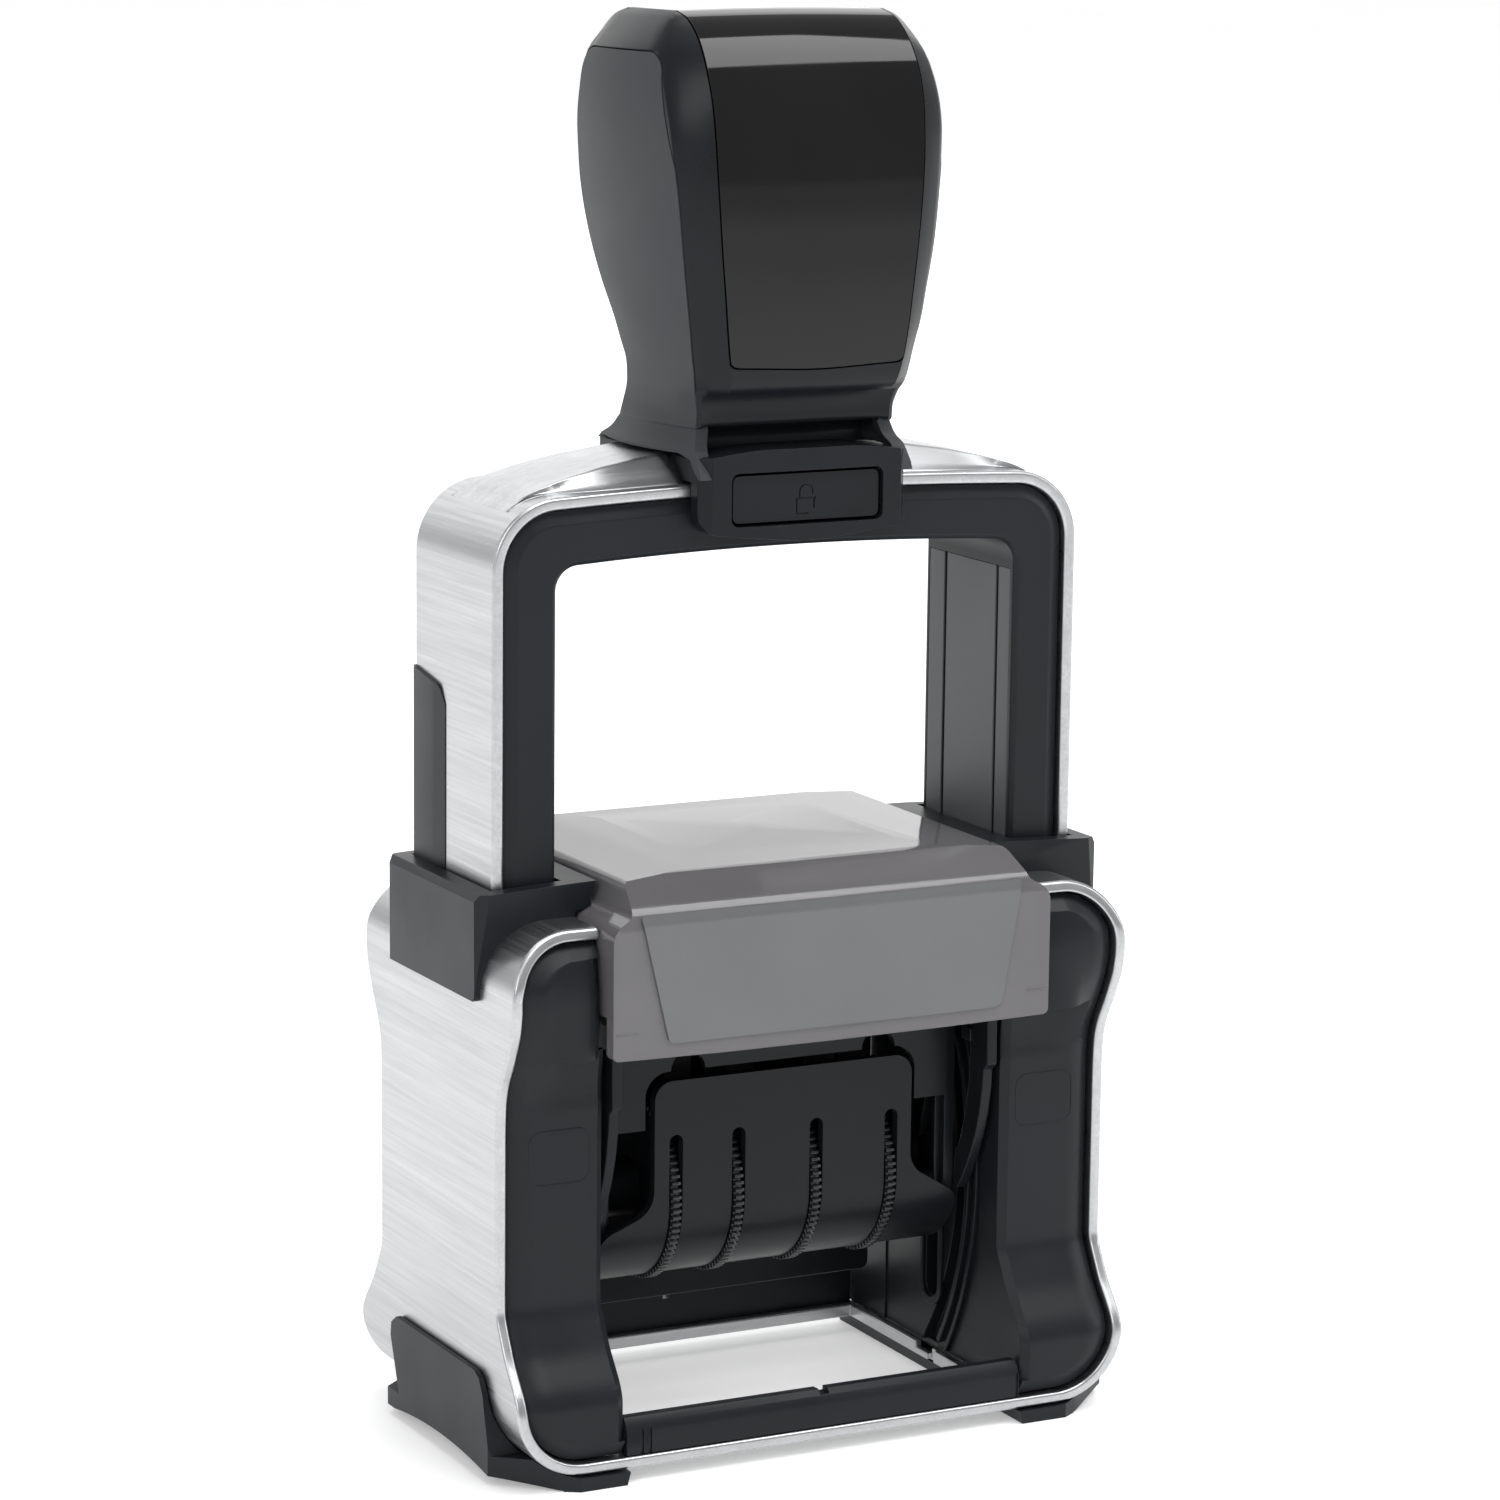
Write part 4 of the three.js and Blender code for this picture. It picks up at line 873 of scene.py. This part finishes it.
end_plate = [(-8.9, 49.2), (8.9, 49.2)] + arc(0, WHEEL_Z, 8.9, 0, -180, 40)
carrier = boolean(new_object("carrier", *box(-22.9, 22.9, -12.2, 12.2, 49.2, 50.4)),
                  box(-14.4, 14.4, -4.9, 4.9, 49, 51))
piece(carrier, "rotor", MECH, "black_plastic", ["rotor_frame"], bevel=0.2, angle=40)
cheek = [prism("X", end_plate, 21.6, 22.9)]
for y in (-0.8, -3.0, -6.0):
    cheek.append(box(20.9, 21.7, y - 0.35, y + 0.35, 38.8 if y > -6 else 37.4, 49.1))
cheek += [box(20.5, 21.7, -6.4, 1.6, 37.6, 38.7),
          prism("X", [(-0.8, 37.6), (-2.9, 30.2), (-3.6, 30.2), (-1.7, 37.6)], 20.9, 21.7),
          prism("X", [(-5.4, 37.6), (-3.6, 30.2), (-4.3, 30.2), (-6.2, 37.6)], 20.9, 21.7),
          box(20.9, 21.7, -7.9, -7.2, 25.5, 36.5), prism("X", arc(0, AXLE_Z, 2.6, 0, 350, 35), 20.4, 21.7)]
for side, turn in (("right", lambda p: p), ("left", mirror_x)):
    o = new_object(f"rotor_cheek_{side}", *turn(merge(*cheek)))
    piece(o, "rotor", MECH, "black_plastic", bevel=0.12, seg=2, angle=40)
    pin = new_object(f"cam_pin_{side}",
                     *turn(prism("X", arc(0, AXLE_Z + PIN_ARM, 1.15, 0, 350, 35), 22.8, 25.9)))
    piece(pin, "rotor", MECH, "black_plastic", bevel=0.15, angle=40)

o = new_object("rotor_front_wall", *box(-21.5, 21.5, -9.5, -8.3, 36.4, 49.3))
boolean(o, prism("Y", rounded([(-17.2, 30, 0), (17.2, 30, 0), (17.2, 42.9, 2.8), (-17.2, 42.9, 2.8)], 8),
                 -12, -5))
for x in (-11.9, 12.4):
    boolean(o, prism("Y", arc(x, 42.9, 2.15, 0, 345, 30), -12, -5))
piece(o, "rotor", MECH, "black_plastic", bevel=0.18, angle=35)
back = rounded([(-21.4, 10.8, 1.0), (21.4, 10.8, 1.0), (21.4, 49.3, 0), (-21.4, 49.3, 0)], 6)
o = new_object("rotor_back_wall", *prism("Y", back, 8.3, 9.5))
for x in WHEEL_X:
    slot = rounded([(x - 0.9, 19.2, 0.88), (x + 0.9, 19.2, 0.88), (x + 0.9, 35.8, 0.88),
                    (x - 0.9, 35.8, 0.88)])
    boolean(o, prism("Y", slot, 5, 12))
boolean(o, box(-30, 30, 8.9, 10, 10, 12.4))
piece(o, "rotor", MECH, "black_plastic", bevel=0.2, angle=40)

arm_front = [(-9.3, 25.0), (-10.6, 26.6), (-12.2, 29.5), (-13.4, 32.2), (-14.3, 35.2), (-14.9, 38.4),
             (-15.0, 40.4),
             (-15.9, 41.2), (-15.8, 46.9)]
arm_back = [(-12.6, 47.2), (-11.6, 46.2), (-11.9, 42.5), (-11.7, 38.5), (-11.0, 34.6), (-9.9, 31.2),
            (-8.7, 28.6), (-8.6, 26)]
pair("arm", prism("X", arm_front + arm_back, 23.1, 24.4), "rotor", MECH, "black_plastic", ["rotor_arm"],
     bevel=0.2,
     angle=35)
pair("arm_lug", box(22.8, 23.3, -12.4, -10.4, 43.2, 44.8), "rotor", MECH, "black_plastic", [], bevel=0.1,
     seg=2)

TEETH = 84
step = 2 * math.pi / TEETH
toothed = []
for i in range(TEETH):
    for f, r in ((0.08, WHEEL_R - 0.55), (0.42, WHEEL_R - 0.55), (0.52, WHEEL_R), (0.98, WHEEL_R)):
        a = (i + f) * step
        toothed.append((r * math.cos(a), WHEEL_Z + r * math.sin(a)))
for i, (x, s) in enumerate(zip(WHEEL_X, HUB_SIDE), 1):
    lo, hi = sorted((x, x + s * 4.6))
    o = new_object(f"wheel_{i}", *prism("X", toothed, x - 0.55, x + 0.55))
    boolean(o, prism("X", arc(0, WHEEL_Z, 5.4, 0, 354, 60), lo, hi), "UNION")
    boolean(o, prism("X", arc(0, WHEEL_Z, 1.8, 0, 345, 24), -30, 30))
    piece(o, f"date_wheel_{i}", TOOTH, "black_plastic", [f"date_wheel_{i}"], bevel=0.05, seg=1, angle=50)
for side, lo, hi in (("left", -21.6, -14.7), ("right", 14.9, 21.6)):
    o = new_object(f"spacer_{side}", *prism("X", arc(0, WHEEL_Z, 3.4, 0, 351, 40), lo, hi))
    boolean(o, prism("X", arc(0, WHEEL_Z, 1.9, 0, 345, 24), -30, 30))
    piece(o, "rotor", MECH, "black_plastic", bevel=0.15, angle=40)

# ------------------------------------------------------------------ ink cassette
hood_face = rounded([
    (-27.3, 48.2, 0.7), (-14, 48.0, 60), (0, 47.95, 60), (14, 48.0, 60), (27.3, 48.2, 0.7),
    (27.3, 62.6, 2.2), (24.9, 63.9, 1.1),
    (23.9, 67.0, 0.9), (12, 67.9, 40), (0, 68.2, 40), (-12, 67.9, 40), (-23.9, 67.0, 0.9),
    (-24.9, 63.9, 1.1),
    (-27.3, 62.6, 2.2)], 8)
hood_side = rounded([(-22, 45, 0), (18, 45, 0), (18, 67.6, 1.4), (0, 68.3, 60), (-16.3, 67.6, 2.5),
                     (-22.0, 64.0, 3.2)], 10)
room_face = rounded([
    (-26.1, 40, 0), (26.1, 40, 0), (26.1, 61.6, 1.4), (23.4, 63.0, 0.8), (22.7, 65.9, 0.8), (0, 67.0, 80),
    (-22.7, 65.9, 0.8),
    (-23.4, 63.0, 0.8), (-26.1, 61.6, 1.4)], 6)
room_side = rounded([(-20.8, 40, 0), (16.8, 40, 0), (16.8, 66.3, 1), (0, 67.1, 60), (-15.9, 66.4, 2),
                     (-20.8, 63.2, 2.4)], 8)
o = new_object("hood", *prism("Y", hood_face, -25, 25))
boolean(o, prism("X", hood_side, -30, 30), "INTERSECT")
room = new_object("room", *prism("Y", room_face, -24, 24))
boolean(room, prism("X", room_side, -28, 28), "INTERSECT")
cut_with(o, room)
boolean(o, box(-30, 30, -20.3, 30, 40, 52.8))
piece(o, "ink_cassette", SMOKE, "smoke", ["cassette_hood"], bevel=0.35, angle=28, sharp=36)
front_panel = rounded([(-20.6, 49.7, 0.8), (21.0, 49.7, 1.3), (23.5, 64.3, 0.6), (-24.1, 64.3, 0.6)])
o = new_object("hood_front", *prism("Y", front_panel, -22.32, -21.9))
boolean(o, prism("X", rounded([(-22.32, 45, 0), (-18, 45, 0), (-18, 67.2, 0), (-22.3, 64.05, 2.6)], 8),
                 -30, 30), "INTERSECT")
piece(o, "ink_cassette", SMOKE_FRONT, "smoke", bevel=0.14, angle=30)
mark = box(24.3, 27.0, -22.08, -21.9, 51.1, 51.25)
o = new_object("hood_marks", *merge(mark, mirror_x(mark)))
piece(o, "ink_cassette", SMOKE, "smoke", bevel=0.03, seg=1)
label = rounded([(-21.6, -17.0, 1.2), (21.6, -17.0, 1.2), (21.6, 16.4, 1.2), (-21.6, 16.4, 1.2)])
rings = []
for lift in (65.55, 65.75):
    rings.append([(x, y, lift + 1.0 * (1 - (x / 23) ** 2) - 0.0012 * y * y) for x, y in label])
o = new_object("cassette_card", *loft(rings))
piece(o, "ink_cassette", CARD, "card", bevel=0.03, seg=1)

card = rounded([(-21, 50.3, 0.6), (21, 50.3, 0.6), (23, 61.8, 0.6), (-23, 61.8, 0.6)])
o = new_object("front_card", *prism("Y", card, -20.5, -20.1))
piece(o, "ink_cassette", CARD, "card", ["index_card"], bevel=0.05, seg=2)


def pad_ring(grow, z):
    outline = rounded([(-22.3 - grow, -13.7 - grow, 1.6), (22.3 + grow, -13.7 - grow, 1.6),
                       (22.3 + grow, 13.7 + grow, 1.6),
                       (-22.3 - grow, 13.7 + grow, 1.6)])
    return [(x, y, z) for x, y in outline]


o = new_object("pad", *loft([pad_ring(-2.5, 52.95), pad_ring(-0.9, 53.0), pad_ring(-0.25, 53.3),
                             pad_ring(0, 54.0),
                             pad_ring(0, 57.4), pad_ring(-0.5, 58.0)]))
piece(o, "ink_cassette", FELT, "ink_felt", ["ink_pad"], bevel=0.1, seg=2)


# ------------------------------------------------------------------ camera, floor and light
AZ, EL, ROLL = math.radians(-25.759), math.radians(10.521), math.radians(0.334)
FOCAL, CX, CY, DIST, OFF_X, OFF_Y = 4852.251, 604.339, 738.931, 551.737, -16.186, 3.052
fwd = Vector((-math.sin(AZ) * math.cos(EL), math.cos(AZ) * math.cos(EL), -math.sin(EL)))
right = Vector((math.cos(AZ), math.sin(AZ), 0))
up = right.cross(fwd)
right, up = right * math.cos(ROLL) + up * math.sin(ROLL), up * math.cos(ROLL) - right * math.sin(ROLL)
place = (Vector((0, 0, 75)) - fwd * DIST + right * OFF_X + up * OFF_Y) * MM
cam = bpy.data.objects.new("camera", bpy.data.cameras.new("camera"))
bpy.context.scene.collection.objects.link(cam)
cam.matrix_world = Matrix.Translation(place) @ Matrix((right, up, -fwd)).transposed().to_4x4()
cam.data.sensor_width = 36
cam.data.lens = 36 * FOCAL / 1500
cam.data.shift_x = (750 - CX) / 1500
cam.data.shift_y = (CY - 750) / 1500
cam.data.clip_start = 0.01
bpy.context.scene.camera = cam

floor_mesh = bpy.data.meshes.new("floor")
floor_mesh.from_pydata([(-9, -9, 0), (9, -9, 0), (9, 9, 0), (-9, 9, 0)], [], [(0, 1, 2, 3)])
floor = bpy.data.objects.new("floor", floor_mesh)
bpy.context.scene.collection.objects.link(floor)
# the floor glows though it is no lamp: painted light that lightens the shadow under the stamp; the glow is
# painted dimmer in front and brighter behind, so the dark faces mirror a dim floor in front
f = Nodes("floor", (0.86, 0.86, 0.86), 0.7, Emission_Color=(1, 1, 1, 1), Emission_Strength=0.62)
f.tint(f.noise(3, detail=2), (0.85, 0.85, 0.85), (0.87, 0.87, 0.87))
split = f.add("ShaderNodeSeparateXYZ")
f.link(f.coord, split.inputs["Vector"])
f.link(f.ramp(split.outputs["Y"], 0.30, 0.64, -0.1, 1.2), f.bsdf.inputs["Emission Strength"])
floor.data.materials.append(f.mat)


def lamp(name, pos, size, power, color=(1, 1, 1), aim=(0, 0, 0.08)):
    light = bpy.data.lights.new(name, "AREA")
    light.shape = "RECTANGLE"
    light.size, light.size_y = size
    light.energy = power
    light.color = color
    o = bpy.data.objects.new(name, light)
    bpy.context.scene.collection.objects.link(o)
    o.location = pos
    o.rotation_euler = (Vector(aim) - Vector(pos)).to_track_quat("-Z", "Y").to_euler()


lamp("key", (-0.9, -0.75, 0.75), (0.5, 0.8), 4)
lamp("side", (-1.2, 0.5, 0.5), (0.5, 1.0), 2)
lamp("back", (0.35, 1.7, 0.75), (2.6, 1.4), 12, aim=(0, 0, 0.07))
lamp("top", (0.0, 0.2, 1.2), (0.8, 0.8), 4)
lamp("front_top", (0.30, -0.50, 1.18), (1.0, 0.55), 9)
lamp("right", (1.1, -0.5, 0.6), (0.3, 0.9), 3)
world = bpy.data.worlds.new("studio")
world.use_nodes = True
world.node_tree.nodes["Background"].inputs["Color"].default_value = (1, 1, 1, 1)
world.node_tree.nodes["Background"].inputs["Strength"].default_value = 0.40
bpy.context.scene.world = world
bpy.context.scene.view_settings.view_transform = "Standard"
